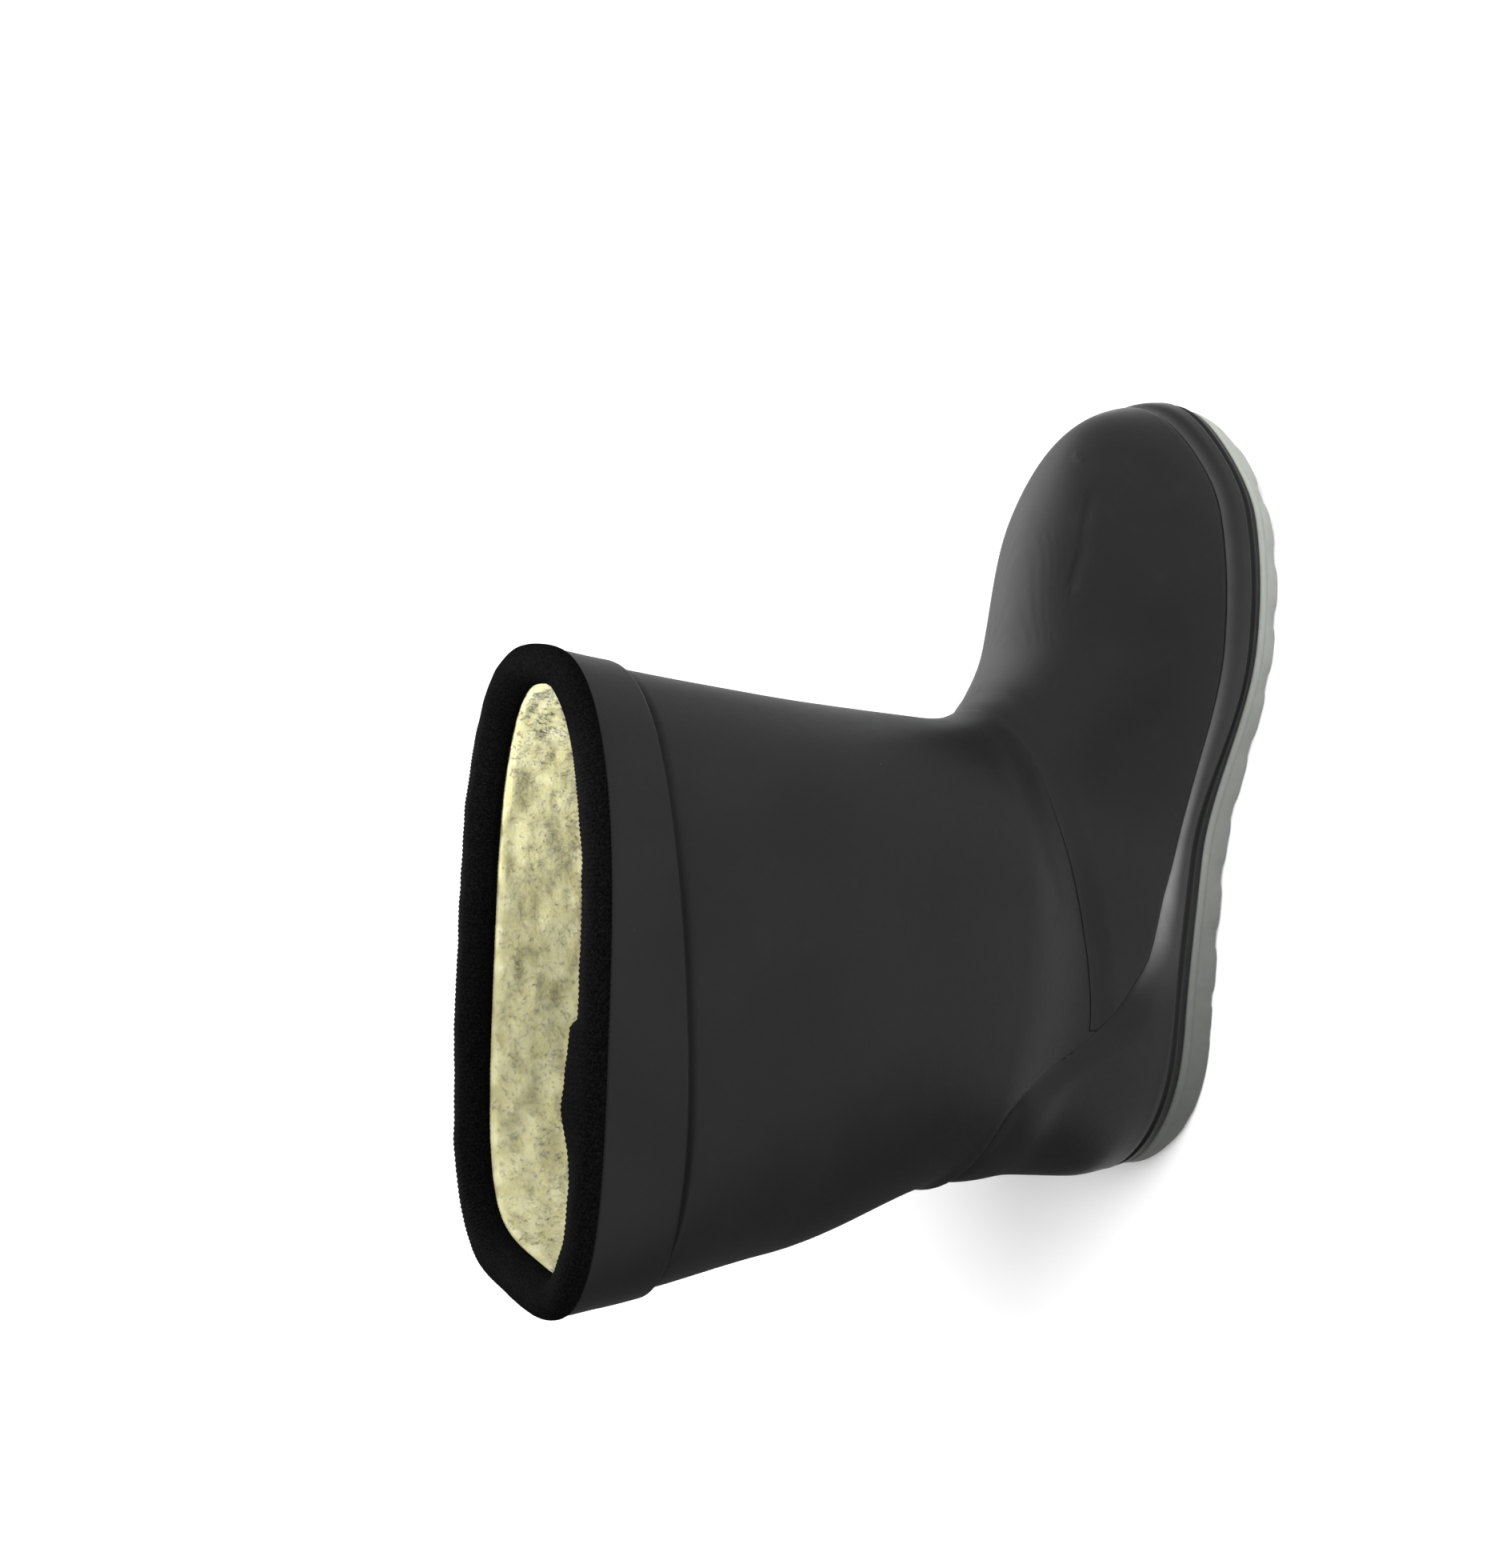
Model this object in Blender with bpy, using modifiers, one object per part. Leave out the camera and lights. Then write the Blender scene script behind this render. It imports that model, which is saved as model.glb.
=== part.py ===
"""A child's lined rubber boot for the left foot, made as separate pieces round one last.

X runs from heel to toe, Y to the wearer's left and Z up. The floor is Z = 0, and the origin lies on it
under the middle of the heel seat. Sizes are in millimetres, and the meshes are written in metres.
"""
import math
from collections import namedtuple

import bmesh
import bpy
import numpy as np

MM = 0.001
OBJECT_NAME = "lined_rubber_boot"

# The last: stations run along the foot from the back of the boot
HEEL_SEAT = 20.0         # station of the origin
AXIS = 42.0              # station of the upright axis that the skin is measured from
HEEL_END = 1.6           # back of the upper's foot
TOE_END = 167.0          # tip of the upper's foot
HEEL_ROUND = 31.0        # length over which the heel closes
HEEL_POWER = 2.2
TOE_ROUND = 57.0         # length over which the toe closes
TOE_POWER = 2.34
TOE_SWING = -9.7         # how far the tip leans to the inner side
SWING_START = 70.0
NOSE_LENGTH = 30.0       # length over which the ridge drops at the toe
NOSE_DROP = 2.4          # the larger, the later the drop
NOSE_ROUND = 2.2         # the larger, the blunter the tip
SIDE_POWER = 2.3         # roundness of the foot's cross sections
SIDE_BULGE = 0.10

FootSection = namedtuple("FootSection", "station inner outer feather")
FOOT_SECTIONS = (
    FootSection(station=0.0, inner=20.6, outer=20.6, feather=9.0),
    FootSection(station=25.0, inner=20.6, outer=20.6, feather=9.0),
    FootSection(station=68.0, inner=22.1, outer=23.7, feather=8.2),
    FootSection(station=112.0, inner=30.7, outer=30.2, feather=6.2),
    FootSection(station=140.0, inner=29.6, outer=29.2, feather=7.0),
    FootSection(station=168.0, inner=26.6, outer=26.2, feather=12.7),
)
RidgeSection = namedtuple("RidgeSection", "station height")
RIDGE_SECTIONS = (
    RidgeSection(station=40.0, height=96.0),
    RidgeSection(station=88.0, height=49.6),
    RidgeSection(station=112.0, height=37.7),
    RidgeSection(station=133.0, height=36.3),
    RidgeSection(station=168.0, height=29.8),
)
# Each section may be skewed, its outer side further forward than its inner one
LegSection = namedtuple("LegSection", "height back front half back_power front_power skew")
LEG_SECTIONS = (
    LegSection(height=0.0, back=2.6, front=75.0, half=20.6, back_power=2.2, front_power=2.2, skew=0.0),
    LegSection(height=14.0, back=0.2, front=77.0, half=22.0, back_power=2.2, front_power=2.2, skew=0.0),
    LegSection(height=30.0, back=0.4, front=79.5, half=23.8, back_power=2.2, front_power=2.2, skew=0.0),
    LegSection(height=50.0, back=-3.0, front=91.8, half=30.2, back_power=2.2, front_power=2.2, skew=0.0),
    LegSection(height=92.0, back=-16.8, front=90.9, half=33.4, back_power=2.2, front_power=2.4, skew=0.02),
    LegSection(height=132.5, back=-22.3, front=92.3, half=31.8, back_power=3.2, front_power=2.6, skew=0.12),
    LegSection(height=141.1, back=-22.8, front=92.8, half=31.7, back_power=3.5, front_power=2.6, skew=0.13),
)
RIM_HEIGHT = LEG_SECTIONS[-1].height
HEEL_FEATHER = FOOT_SECTIONS[0].feather
FEATHER_FADE = 90.0      # height by which the leg no longer follows the feather line
RIM_TILT = math.radians(3.3)
TILT_START = 60.0        # height from which the leg leans with the rim
TILT_STATION = 36.0
FILLET_SIDE = 1.5        # blend between leg and foot at the sides
FILLET_FRONT = 15.5      # extra blend at the throat
FILLET_FADE = 10.0       # height over which the blend comes in above the feather line

# Shells laid over each other
GAP = 0.3
WALL = 2.0
VAMP_THICK = 0.8
CUFF_THICK = 0.8
COLUMNS = 50
TURN_WEIGHT = 30.0       # millimetres of length that one radian of turning counts for

# Upper edges of the overlays: angle from the toe in degrees, height above the feather line
EdgePoint = namedtuple("EdgePoint", "angle height")
RAND_EDGE = (
    EdgePoint(angle=0.0, height=10.5),
    EdgePoint(angle=25.0, height=9.2),
    EdgePoint(angle=34.0, height=7.4),
    EdgePoint(angle=55.0, height=10.4),
    EdgePoint(angle=78.0, height=12.3),
    EdgePoint(angle=98.0, height=17.3),
    EdgePoint(angle=120.0, height=26.9),
    EdgePoint(angle=137.0, height=44.2),
    EdgePoint(angle=150.0, height=46.9),
    EdgePoint(angle=180.0, height=49.2),
)
VAMP_EDGE = (
    EdgePoint(angle=0.0, height=47.6),
    EdgePoint(angle=12.0, height=46.5),
    EdgePoint(angle=23.0, height=43.4),
    EdgePoint(angle=36.0, height=39.3),
    EdgePoint(angle=48.0, height=35.4),
    EdgePoint(angle=66.0, height=31.8),
    EdgePoint(angle=91.0, height=28.9),
    EdgePoint(angle=117.0, height=27.3),
    EdgePoint(angle=137.0, height=62.0),
    EdgePoint(angle=180.0, height=84.0),
)
VAMP_END = 117.0         # angle at which the panel stops, while its line runs on round the leg

# Bands of the skin from the feather line to the rim, with the steps that each is divided into
Band = namedtuple("Band", "name steps")
BANDS = (Band("rand", 5), Band("vamp", 9), Band("leg", 6), Band("cuff", 2), Band("tape", 1))

# Rand profile from the sole up: recess, bead, groove, and a face that is rounded off to its upper edge.
# Each stands proud of the upper's skin by its own measure.
RECESS_PROUD = 0.6
RECESS_TALL = 2.0
BEAD_PROUD = 1.3
BEAD_TALL = 1.0
GROOVE_PROUD = 0.9
GROOVE_TALL = 1.4
RAND_FACE = 1.8
RAND_EDGE_THICK = 0.6
RAND_STEP = 0.2          # length of the slope between two levels
BEVEL_WIDTH = 5.0        # longest stretch over which the face is rounded off
BEVEL_SHARE = 0.7        # most of the face that is rounded off where the strip is narrow
BEVEL_POWER = 2.3
BEVEL_ROWS = 4
RAND_FACE_ROWS = 4

# Collar: cuff band and folded tape
TAPE_OUTSIDE = 2.0       # tape's width on the outside
TAPE_INSIDE = 4.4        # tape's width on the inside
TAPE_THICK = 1.1
LINED_THICK = 3.2        # tape with the edge of the lining under it
RIM_CROWN = 1.5
CUFF_FRONT = 12.8        # cuff's lower edge below the rim, at the front and the back
CUFF_BACK = 18.5

# Sole
SOLE_TOP_DROP = 0.5      # top of the sole below the feather line
SOLE_PROUD = 0.3         # sole's wall outside the upper
LIP_PROUD = 0.4
LIP_TALL = 1.4
LIP_DRAFT = 0.4
FLOOR_BEVEL = 0.8
FLOOR_INSET = 0.9        # draft of the wall down to the floor edge
HEEL_EDGE_LIFT = 2.6     # the floor edge is rounded up round the back of the heel
HEEL_EDGE_LENGTH = 26.0
LUG_SWELL = 0.45         # how far a lug bulges at the side
GROOVE_INSET = 0.15
LUG_FIRST = 44.75        # station of the first lug's middle
LUG_PITCH = 13.6
LUG_COUNT = 9
LUG_LENGTH = 9.4
LUG_DEPTH = 2.2
LUG_DRAFT = 0.5
LUG_BOW = 4.0            # how far a lug's middle runs ahead of its ends
BOW_FADE = 25.0          # length over which the bow comes in behind the heel and goes at the toe
HEEL_LENGTH = 36.5
HEEL_GROOVES = (11.0, 29.5)
HEEL_GROOVE_WIDTH = 3.0
HEEL_GROOVE_DEPTH = 1.6
HEEL_ROLL_LENGTH = 13.0
HEEL_ROLL = 3.5
ARCH_START = 38.0
ARCH_END = 82.0
ARCH_RISE = 1.4          # at the middle of the sole
ARCH_EDGE = 0.25         # share of the rise that is left at the sides
SPRING_START = 124.0
TOE_SPRING = 7.3
END_STEPS = (0.4, 1.6, 3.6, 6.4)
SOLE_ACROSS = (-1.0, -0.86, -0.7, 0.0, 0.7, 0.86, 1.0)
GROOVE_REACH = 0.75      # share of the half width that the grooves cross
GROOVE_EDGE = 0.2        # what is left of a groove's depth beyond that
TOP_ACROSS = (0.7, 0.0, -0.7)

# Insole
INSOLE_THICK = 4.0
INSOLE_INSET = 2.7
INSOLE_STATIONS = 22
INSOLE_ROUND = 1.0
INSOLE_END_TURN = 0.08   # radians short of the ends, so that the ends have a width

# How finely the curves are measured
RAY_LENGTH = 150.0
BISECTIONS = 40
COLUMN_SAMPLES = 400
RING_SAMPLES = 720
ANGLE_STEP = 0.004
HEIGHT_STEP = 0.1
LEAST = 0.01             # keeps a length that is divided by above zero
SAME_ANGLE = 0.1         # degrees within which a column counts as standing at a panel's end
SHARP_EDGE = math.radians(40)


def table_curve(rows, key, column):
    """Return a smooth curve of one column of a table, level at both ends and without overshoot."""
    knots = np.array([getattr(row, key) for row in rows])
    values = np.array([getattr(row, column) for row in rows])
    step = np.diff(knots)
    slope = np.diff(values) / step
    tangent = np.zeros(len(knots))
    for i in range(1, len(knots) - 1):
        before, after = slope[i - 1], slope[i]
        if before * after > 0:
            near = 2 * step[i] + step[i - 1]
            far = step[i] + 2 * step[i - 1]
            tangent[i] = (near + far) / (near / before + far / after)

    def curve(at):
        at = np.clip(at, knots[0], knots[-1])
        i = np.clip(np.searchsorted(knots, at, side="right") - 1, 0, len(step) - 1)
        t = (at - knots[i]) / step[i]
        rise = t * t * (3 - 2 * t)
        start_pull = t * (1 - t) ** 2 * step[i] * tangent[i]
        end_pull = t * t * (t - 1) * step[i] * tangent[i + 1]
        return values[i] + rise * (values[i + 1] - values[i]) + start_pull + end_pull

    return curve


inner_half = table_curve(FOOT_SECTIONS, "station", "inner")
outer_half = table_curve(FOOT_SECTIONS, "station", "outer")
feather_line = table_curve(FOOT_SECTIONS, "station", "feather")
ridge_table = table_curve(RIDGE_SECTIONS, "station", "height")
leg_back = table_curve(LEG_SECTIONS, "height", "back")
leg_front = table_curve(LEG_SECTIONS, "height", "front")
leg_half = table_curve(LEG_SECTIONS, "height", "half")
leg_back_power = table_curve(LEG_SECTIONS, "height", "back_power")
leg_front_power = table_curve(LEG_SECTIONS, "height", "front_power")
leg_skew = table_curve(LEG_SECTIONS, "height", "skew")
rand_edge_height = table_curve(RAND_EDGE, "angle", "height")
vamp_edge_height = table_curve(VAMP_EDGE, "angle", "height")


def foot_plan(station, grow=0.0):
    """Half widths to the inner and outer side of the centre line, and the centre line, seen from above."""
    heel = HEEL_END - grow
    toe = TOE_END + grow
    from_heel = np.clip((heel + HEEL_ROUND - station) / HEEL_ROUND, 0, 1)
    from_toe = np.clip((station - toe + TOE_ROUND) / TOE_ROUND, 0, 1)
    closing = np.sqrt(1 - from_heel ** HEEL_POWER) * np.sqrt(1 - from_toe ** TOE_POWER)
    swing = np.clip((station - SWING_START) / (TOE_END - SWING_START), 0, None)
    inner = (inner_half(station) + grow) * closing
    outer = (outer_half(station) + grow) * closing
    return inner, outer, TOE_SWING * swing ** 2


def ridge_height(station):
    """Height of the foot's ridge above the feather line."""
    nose = np.clip((station - TOE_END + NOSE_LENGTH) / NOSE_LENGTH, 0, 1)
    return ridge_table(station) * (1 - nose ** NOSE_DROP) ** (1 / NOSE_ROUND)


def reach(angle, inside):
    """Distance from the axis at which each ray leaves a form, found by halving."""
    near = np.zeros_like(angle)
    far = np.full_like(angle, RAY_LENGTH)
    for _ in range(BISECTIONS):
        middle = (near + far) / 2
        hit = inside(AXIS + middle * np.cos(angle), middle * np.sin(angle))
        near = np.where(hit, middle, near)
        far = np.where(hit, far, middle)
    return near


def leg_reach(angle, height):
    """Reach of the leg, whose level sections are squared ovals, skewed towards the collar."""
    back, front, half = leg_back(height), leg_front(height), leg_half(height)
    back_power, front_power, skew = leg_back_power(height), leg_front_power(height), leg_skew(height)

    def inside(station, across):
        along = (station - skew * across - (front + back) / 2) / ((front - back) / 2)
        power = np.where(along < 0, back_power, front_power)
        return np.abs(along) ** power + np.abs(across / half) ** power < 1

    return reach(angle, inside)


def foot_reach(angle, height):
    """Reach of the foot, whose cross sections arch from the feather line over the ridge."""
    def inside(station, across):
        inner, outer, centre = foot_plan(station)
        ridge = np.maximum(ridge_height(station), LEAST)
        share = np.clip(height / ridge, 0, 1)
        arch = np.sqrt(1 - share ** SIDE_POWER)
        arch = arch * (1 + SIDE_BULGE * np.sin(math.pi * share) * (1 - share))
        from_centre = across - centre * (1 - share / 2)
        half = np.where(from_centre < 0, inner, outer)
        in_length = (station > HEEL_END) & (station < TOE_END)
        return in_length & (height < ridge) & (np.abs(from_centre) < half * arch)

    return reach(angle, inside)


def skin(angle, height):
    """The upper's outer skin: leg and foot blended, on the feather line, under the tilted rim."""
    leg = leg_reach(angle, height)
    foot = foot_reach(angle, height)
    blend = FILLET_SIDE + FILLET_FRONT * np.clip(np.cos(angle), 0, 1) ** 2
    blend = blend * np.clip(height / FILLET_FADE, 0, 1) + LEAST
    meeting = np.clip(1 - np.abs(leg - foot) / blend, 0, None)
    radius = np.maximum(leg, foot) + meeting ** 2 * blend / 4
    station = AXIS + radius * np.cos(angle)
    follow = np.clip(1 - height / FEATHER_FADE, 0, 1)
    lean = np.clip((height - TILT_START) / (RIM_HEIGHT - TILT_START), 0, 1)
    level = height + feather_line(station) * follow + HEEL_FEATHER * (1 - follow)
    level = level + math.tan(RIM_TILT) * (station - TILT_STATION) * lean
    return np.stack([station, radius * np.sin(angle), level], axis=-1)


def skin_normal(angle, height):
    """Outward direction of the skin."""
    along = skin(angle + ANGLE_STEP, height) - skin(angle - ANGLE_STEP, height)
    above = np.minimum(height + HEIGHT_STEP, RIM_HEIGHT)
    below = np.maximum(height - HEIGHT_STEP, 0)
    normal = np.cross(along, skin(angle, above) - skin(angle, below))
    return normal / np.linalg.norm(normal, axis=-1, keepdims=True)


def skin_layer(angle, height, proud):
    """Points that stand a distance proud of the skin."""
    return skin(angle, height) + skin_normal(angle, height) * np.expand_dims(proud, -1)


class Column:
    """One upright line on the skin, measured along its length from the feather line."""

    def __init__(self, angle):
        self.angle = angle
        self.heights = np.linspace(0, RIM_HEIGHT, COLUMN_SAMPLES)
        points = skin(np.full(COLUMN_SAMPLES, angle), self.heights)
        runs = np.diff(points, axis=0)
        rise = np.arctan2(runs[:, 2], np.hypot(runs[:, 0], runs[:, 1]))
        lengths = np.linalg.norm(runs, axis=1)
        self.lengths = np.concatenate([[0], np.cumsum(lengths)])
        turning = np.abs(np.gradient(rise))
        self.shares = np.concatenate([[0], np.cumsum(lengths + TURN_WEIGHT * turning)])
        self.total = self.lengths[-1]

    def length_at(self, height):
        return np.interp(height, self.heights, self.lengths)

    def rows(self, low, high, count):
        """Lengths between two others, closer together where the column turns."""
        ends = np.interp([low, high], self.lengths, self.shares)
        return np.interp(np.linspace(*ends, count), self.shares, self.lengths)

    def points(self, lengths, proud):
        """Points at these lengths up the column, standing proud of the skin."""
        lengths = np.asarray(lengths, dtype=float)
        heights = np.interp(lengths, self.lengths, self.heights)
        angles = np.full(len(lengths), self.angle)
        return skin_layer(angles, heights, np.broadcast_to(proud, lengths.shape))


def column_angles(count):
    """Angles that share out the girth and turning of both rims evenly, with one at each panel end."""
    fine = np.linspace(-math.pi, math.pi, RING_SAMPLES + 1)
    measure = np.zeros(RING_SAMPLES)
    for height in (0.0, RIM_HEIGHT):
        ring = skin(fine, np.full(RING_SAMPLES + 1, height))[:, :2]
        runs = np.diff(ring, axis=0)
        heading = np.unwrap(np.arctan2(runs[:, 1], runs[:, 0]))
        turning = np.abs(np.gradient(heading))
        measure += np.linalg.norm(runs, axis=1) + TURN_WEIGHT * turning
    shares = np.concatenate([[0], np.cumsum(measure)])
    angles = np.interp(np.arange(count) / count * shares[-1], shares, fine)
    for panel_end in (-math.radians(VAMP_END), math.radians(VAMP_END)):
        angles[np.argmin(np.abs(angles - panel_end))] = panel_end
    return angles


def cuff_drop(angle):
    """Distance of the cuff's lower edge below the rim, longer round the back."""
    return CUFF_FRONT + (CUFF_BACK - CUFF_FRONT) * (1 - math.cos(angle)) / 2


def skin_bands(column):
    """Lengths up a column of the rows in each band, which the shells over the skin share."""
    turned = abs(math.degrees(column.angle))
    edges = (
        0.0,
        column.length_at(rand_edge_height(turned)),
        column.length_at(vamp_edge_height(turned)),
        column.total - cuff_drop(column.angle),
        column.total - TAPE_OUTSIDE - GAP,
        column.total,
    )
    return {
        band.name: column.rows(low, high, band.steps + 1)
        for band, low, high in zip(BANDS, edges, edges[1:])
    }


def principled(name, color, roughness):
    """A plain material with the piece's colour."""
    material = bpy.data.materials.new(name)
    material.use_nodes = True
    shader = material.node_tree.nodes["Principled BSDF"]
    shader.inputs["Base Color"].default_value = (*color, 1.0)
    shader.inputs["Roughness"].default_value = roughness
    shader.inputs["Metallic"].default_value = 0.0
    return material


def loft(name, sections, material, ring=False, tube=False):
    """Join sections of equal count with quads: ring closes the run, tube closes each section."""
    mesh_data = bmesh.new()
    rows = []
    for section in sections:
        placed = (np.asarray(section) - (HEEL_SEAT, 0, 0)) * MM
        rows.append([mesh_data.verts.new(point) for point in placed])
    runs = len(rows) if ring else len(rows) - 1
    steps = len(rows[0]) if tube else len(rows[0]) - 1
    for i in range(runs):
        here = rows[i]
        there = rows[(i + 1) % len(rows)]
        for j in range(steps):
            k = (j + 1) % len(here)
            mesh_data.faces.new((here[j], there[j], there[k], here[k]))
    if tube and not ring:
        mesh_data.faces.new(rows[0])
        mesh_data.faces.new(rows[-1])
    bmesh.ops.triangulate(mesh_data, faces=mesh_data.faces, quad_method="FIXED")
    if tube:
        bmesh.ops.recalc_face_normals(mesh_data, faces=mesh_data.faces)
    mesh = bpy.data.meshes.new(name)
    mesh_data.to_mesh(mesh)
    mesh_data.free()
    mesh.materials.append(material)
    mesh.shade_smooth()
    mesh.set_sharp_from_angle(angle=SHARP_EDGE)
    piece = bpy.data.objects.new(name, mesh)
    boot_collection.objects.link(piece)
    piece.parent = boot_root
    return piece


def solidify(piece, thickness, outward):
    """Give an open skin its wall."""
    wall = piece.modifiers.new("wall", "SOLIDIFY")
    wall.thickness = thickness * MM
    wall.offset = 1.0 if outward else -1.0
    wall.use_even_offset = True
    wall.use_rim = True


def build_upper(columns):
    """Hollow shell of the whole boot, open at the rim and underneath."""
    sections = []
    for column in columns:
        bands = skin_bands(column).values()
        lengths = np.concatenate([[0.0]] + [rows[1:] for rows in bands])
        sections.append(column.points(lengths, 0.0))
    rubber = principled("black_rubber", (0.025, 0.025, 0.026), 0.42)
    solidify(loft("upper", sections, rubber, ring=True), WALL, outward=False)


def build_vamp(columns):
    """Front panel over the shell, from the rand's edge up to the seam."""
    covered = [column for column in columns if abs(math.degrees(column.angle)) < VAMP_END + SAME_ANGLE]
    sections = [column.points(skin_bands(column)["vamp"], GAP) for column in covered]
    rubber = principled("vamp_rubber", (0.027, 0.027, 0.028), 0.40)
    solidify(loft("vamp", sections, rubber), VAMP_THICK, outward=True)


def build_rand(columns):
    """Strip round the foot, with recess, bead, groove and rounded face, that rises into the heel counter."""
    bead = RECESS_TALL
    groove = bead + BEAD_TALL
    face_low = groove + GROOVE_TALL
    lower_lengths = [face_low - RAND_STEP, groove + RAND_STEP, groove, bead, bead - RAND_STEP, 0.0]
    lower_proud = [GROOVE_PROUD, GROOVE_PROUD, BEAD_PROUD, BEAD_PROUD, RECESS_PROUD, RECESS_PROUD]
    sections = []
    for column in columns:
        back = skin_bands(column)["rand"]
        back[-1] -= GAP
        edge = back[-1]
        shoulder = edge - min(BEVEL_WIDTH, BEVEL_SHARE * (edge - face_low))
        bevel = np.linspace(edge, shoulder, BEVEL_ROWS)
        rounding = np.linspace(1, 0, BEVEL_ROWS) ** BEVEL_POWER
        face = column.rows(shoulder, face_low, RAND_FACE_ROWS)[1:]
        lengths = np.concatenate([back, bevel, face, lower_lengths])
        proud = np.concatenate([
            np.full(len(back), GAP),
            RAND_FACE - (RAND_FACE - RAND_EDGE_THICK) * rounding,
            np.full(len(face), RAND_FACE),
            lower_proud,
        ])
        sections.append(column.points(lengths, proud))
    rubber = principled("rand_rubber", (0.022, 0.022, 0.023), 0.38)
    loft("rand", sections, rubber, ring=True, tube=True)


def build_cuff(columns):
    """Thicker band of rubber under the tape."""
    sections = [column.points(skin_bands(column)["cuff"], GAP) for column in columns]
    rubber = principled("cuff_rubber", (0.025, 0.025, 0.026), 0.42)
    solidify(loft("cuff", sections, rubber, ring=True), CUFF_THICK, outward=True)


def build_binding(columns):
    """Knitted tape folded over the rim, with the lining's edge under its inner leg."""
    outside = GAP + TAPE_THICK
    inside = -WALL - GAP
    hem = inside - LINED_THICK
    profile = (
        (GAP, TAPE_OUTSIDE),
        (outside, TAPE_OUTSIDE),
        (outside, 0.0),
        (GAP, -GAP - TAPE_THICK),
        ((inside + hem) / 2, -GAP - RIM_CROWN),
        (hem, 0.0),
        (hem, TAPE_INSIDE),
        (inside, TAPE_INSIDE),
        (inside, -GAP),
        (GAP, -GAP),
    )
    proud, drop = np.array(profile).T
    over_rim = np.outer(np.maximum(-drop, 0), (0, 0, 1))
    sections = []
    for column in columns:
        sections.append(column.points(column.total - np.maximum(drop, 0), proud) + over_rim)
    knit = principled("knit_tape", (0.008, 0.008, 0.008), 0.9)
    loft("binding", sections, knit, ring=True, tube=True)


TreadRow = namedtuple("TreadRow", "station depth swell")


def tread_rows():
    """Rows across the sole from heel to toe: where it stands, where it is cut, and how it swells."""
    heel = HEEL_END - SOLE_PROUD
    toe = TOE_END + SOLE_PROUD
    rows = [TreadRow(heel + step, 0.0, 0.0) for step in END_STEPS]
    for start in HEEL_GROOVES:
        end = start + HEEL_GROOVE_WIDTH
        rows.append(TreadRow(start - LUG_DRAFT, 0.0, 0.0))
        rows.append(TreadRow(start, HEEL_GROOVE_DEPTH, 0.0))
        rows.append(TreadRow(end, HEEL_GROOVE_DEPTH, 0.0))
        rows.append(TreadRow(end + LUG_DRAFT, 0.0, 0.0))
    rows.append(TreadRow(HEEL_LENGTH, 0.0, 0.0))
    for i in range(LUG_COUNT):
        middle = LUG_FIRST + i * LUG_PITCH
        start = middle - LUG_LENGTH / 2
        end = middle + LUG_LENGTH / 2
        rows.append(TreadRow(start - LUG_DRAFT, LUG_DEPTH, -GROOVE_INSET))
        rows.append(TreadRow(start, 0.0, LUG_SWELL / 2))
        rows.append(TreadRow(middle, 0.0, LUG_SWELL))
        rows.append(TreadRow(end, 0.0, LUG_SWELL / 2))
        rows.append(TreadRow(end + LUG_DRAFT, LUG_DEPTH, -GROOVE_INSET))
    rows.extend(TreadRow(toe - step, 0.0, 0.0) for step in reversed(END_STEPS[:3]))
    return rows


def tread_level(station, across):
    """Height of the uncut tread over the floor: rolled heel, arch and toe spring."""
    roll = HEEL_ROLL * np.clip((HEEL_ROLL_LENGTH - station) / HEEL_ROLL_LENGTH, 0, 1) ** 2
    in_arch = np.clip((station - ARCH_START) / (ARCH_END - ARCH_START), 0, 1)
    arch = ARCH_RISE * np.sin(math.pi * in_arch) ** 2 * (1 - (1 - ARCH_EDGE) * across ** 2)
    spring = TOE_SPRING * np.clip((station - SPRING_START) / (TOE_END - SPRING_START), 0, 1) ** 2
    return roll + arch + spring


def tread_point(row, across, half, centre):
    """One point of the tread, where the lugs bow forward and the grooves fade towards the sides."""
    bowing = np.clip((row.station - HEEL_LENGTH) / BOW_FADE, 0, 1)
    bowing *= np.clip((TOE_END - row.station) / BOW_FADE, 0, 1)
    station = row.station + LUG_BOW * bowing * (1 - across ** 2)
    cut = row.depth * (1.0 if abs(across) < GROOVE_REACH else GROOVE_EDGE)
    behind = np.clip((HEEL_EDGE_LENGTH - row.station) / HEEL_EDGE_LENGTH, 0, 1)
    edge = FLOOR_BEVEL + HEEL_EDGE_LIFT * behind ** 2 if abs(across) == 1.0 else 0.0
    return station, centre + across * half, tread_level(station, across) + max(cut, edge)


def build_outsole():
    """Moulded sole, lofted from heel to toe through its tread rows."""
    sections = []
    for row in tread_rows():
        inner, outer, centre = foot_plan(row.station, SOLE_PROUD)
        tread_inset = row.swell - FLOOR_INSET
        section = []
        for across in SOLE_ACROSS:
            half = tread_inset + (inner if across < 0 else outer)
            section.append(tread_point(row, across, half, centre))
        top = feather_line(row.station) - SOLE_TOP_DROP
        lip = top - LIP_TALL
        middle = (section[-1][2] + lip) / 2
        wall = ((row.swell, middle), (0.0, lip - LIP_DRAFT), (LIP_PROUD, lip), (LIP_PROUD, top))
        section.extend((row.station, centre + outer + proud, level) for proud, level in wall)
        for across in TOP_ACROSS:
            half = outer if across > 0 else inner
            section.append((row.station, centre + across * half, top))
        section.extend((row.station, centre - inner - proud, level) for proud, level in reversed(wall))
        sections.append(section)
    rubber = principled("grey_rubber", (0.24, 0.26, 0.235), 0.6)
    loft("outsole", sections, rubber, tube=True)


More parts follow.
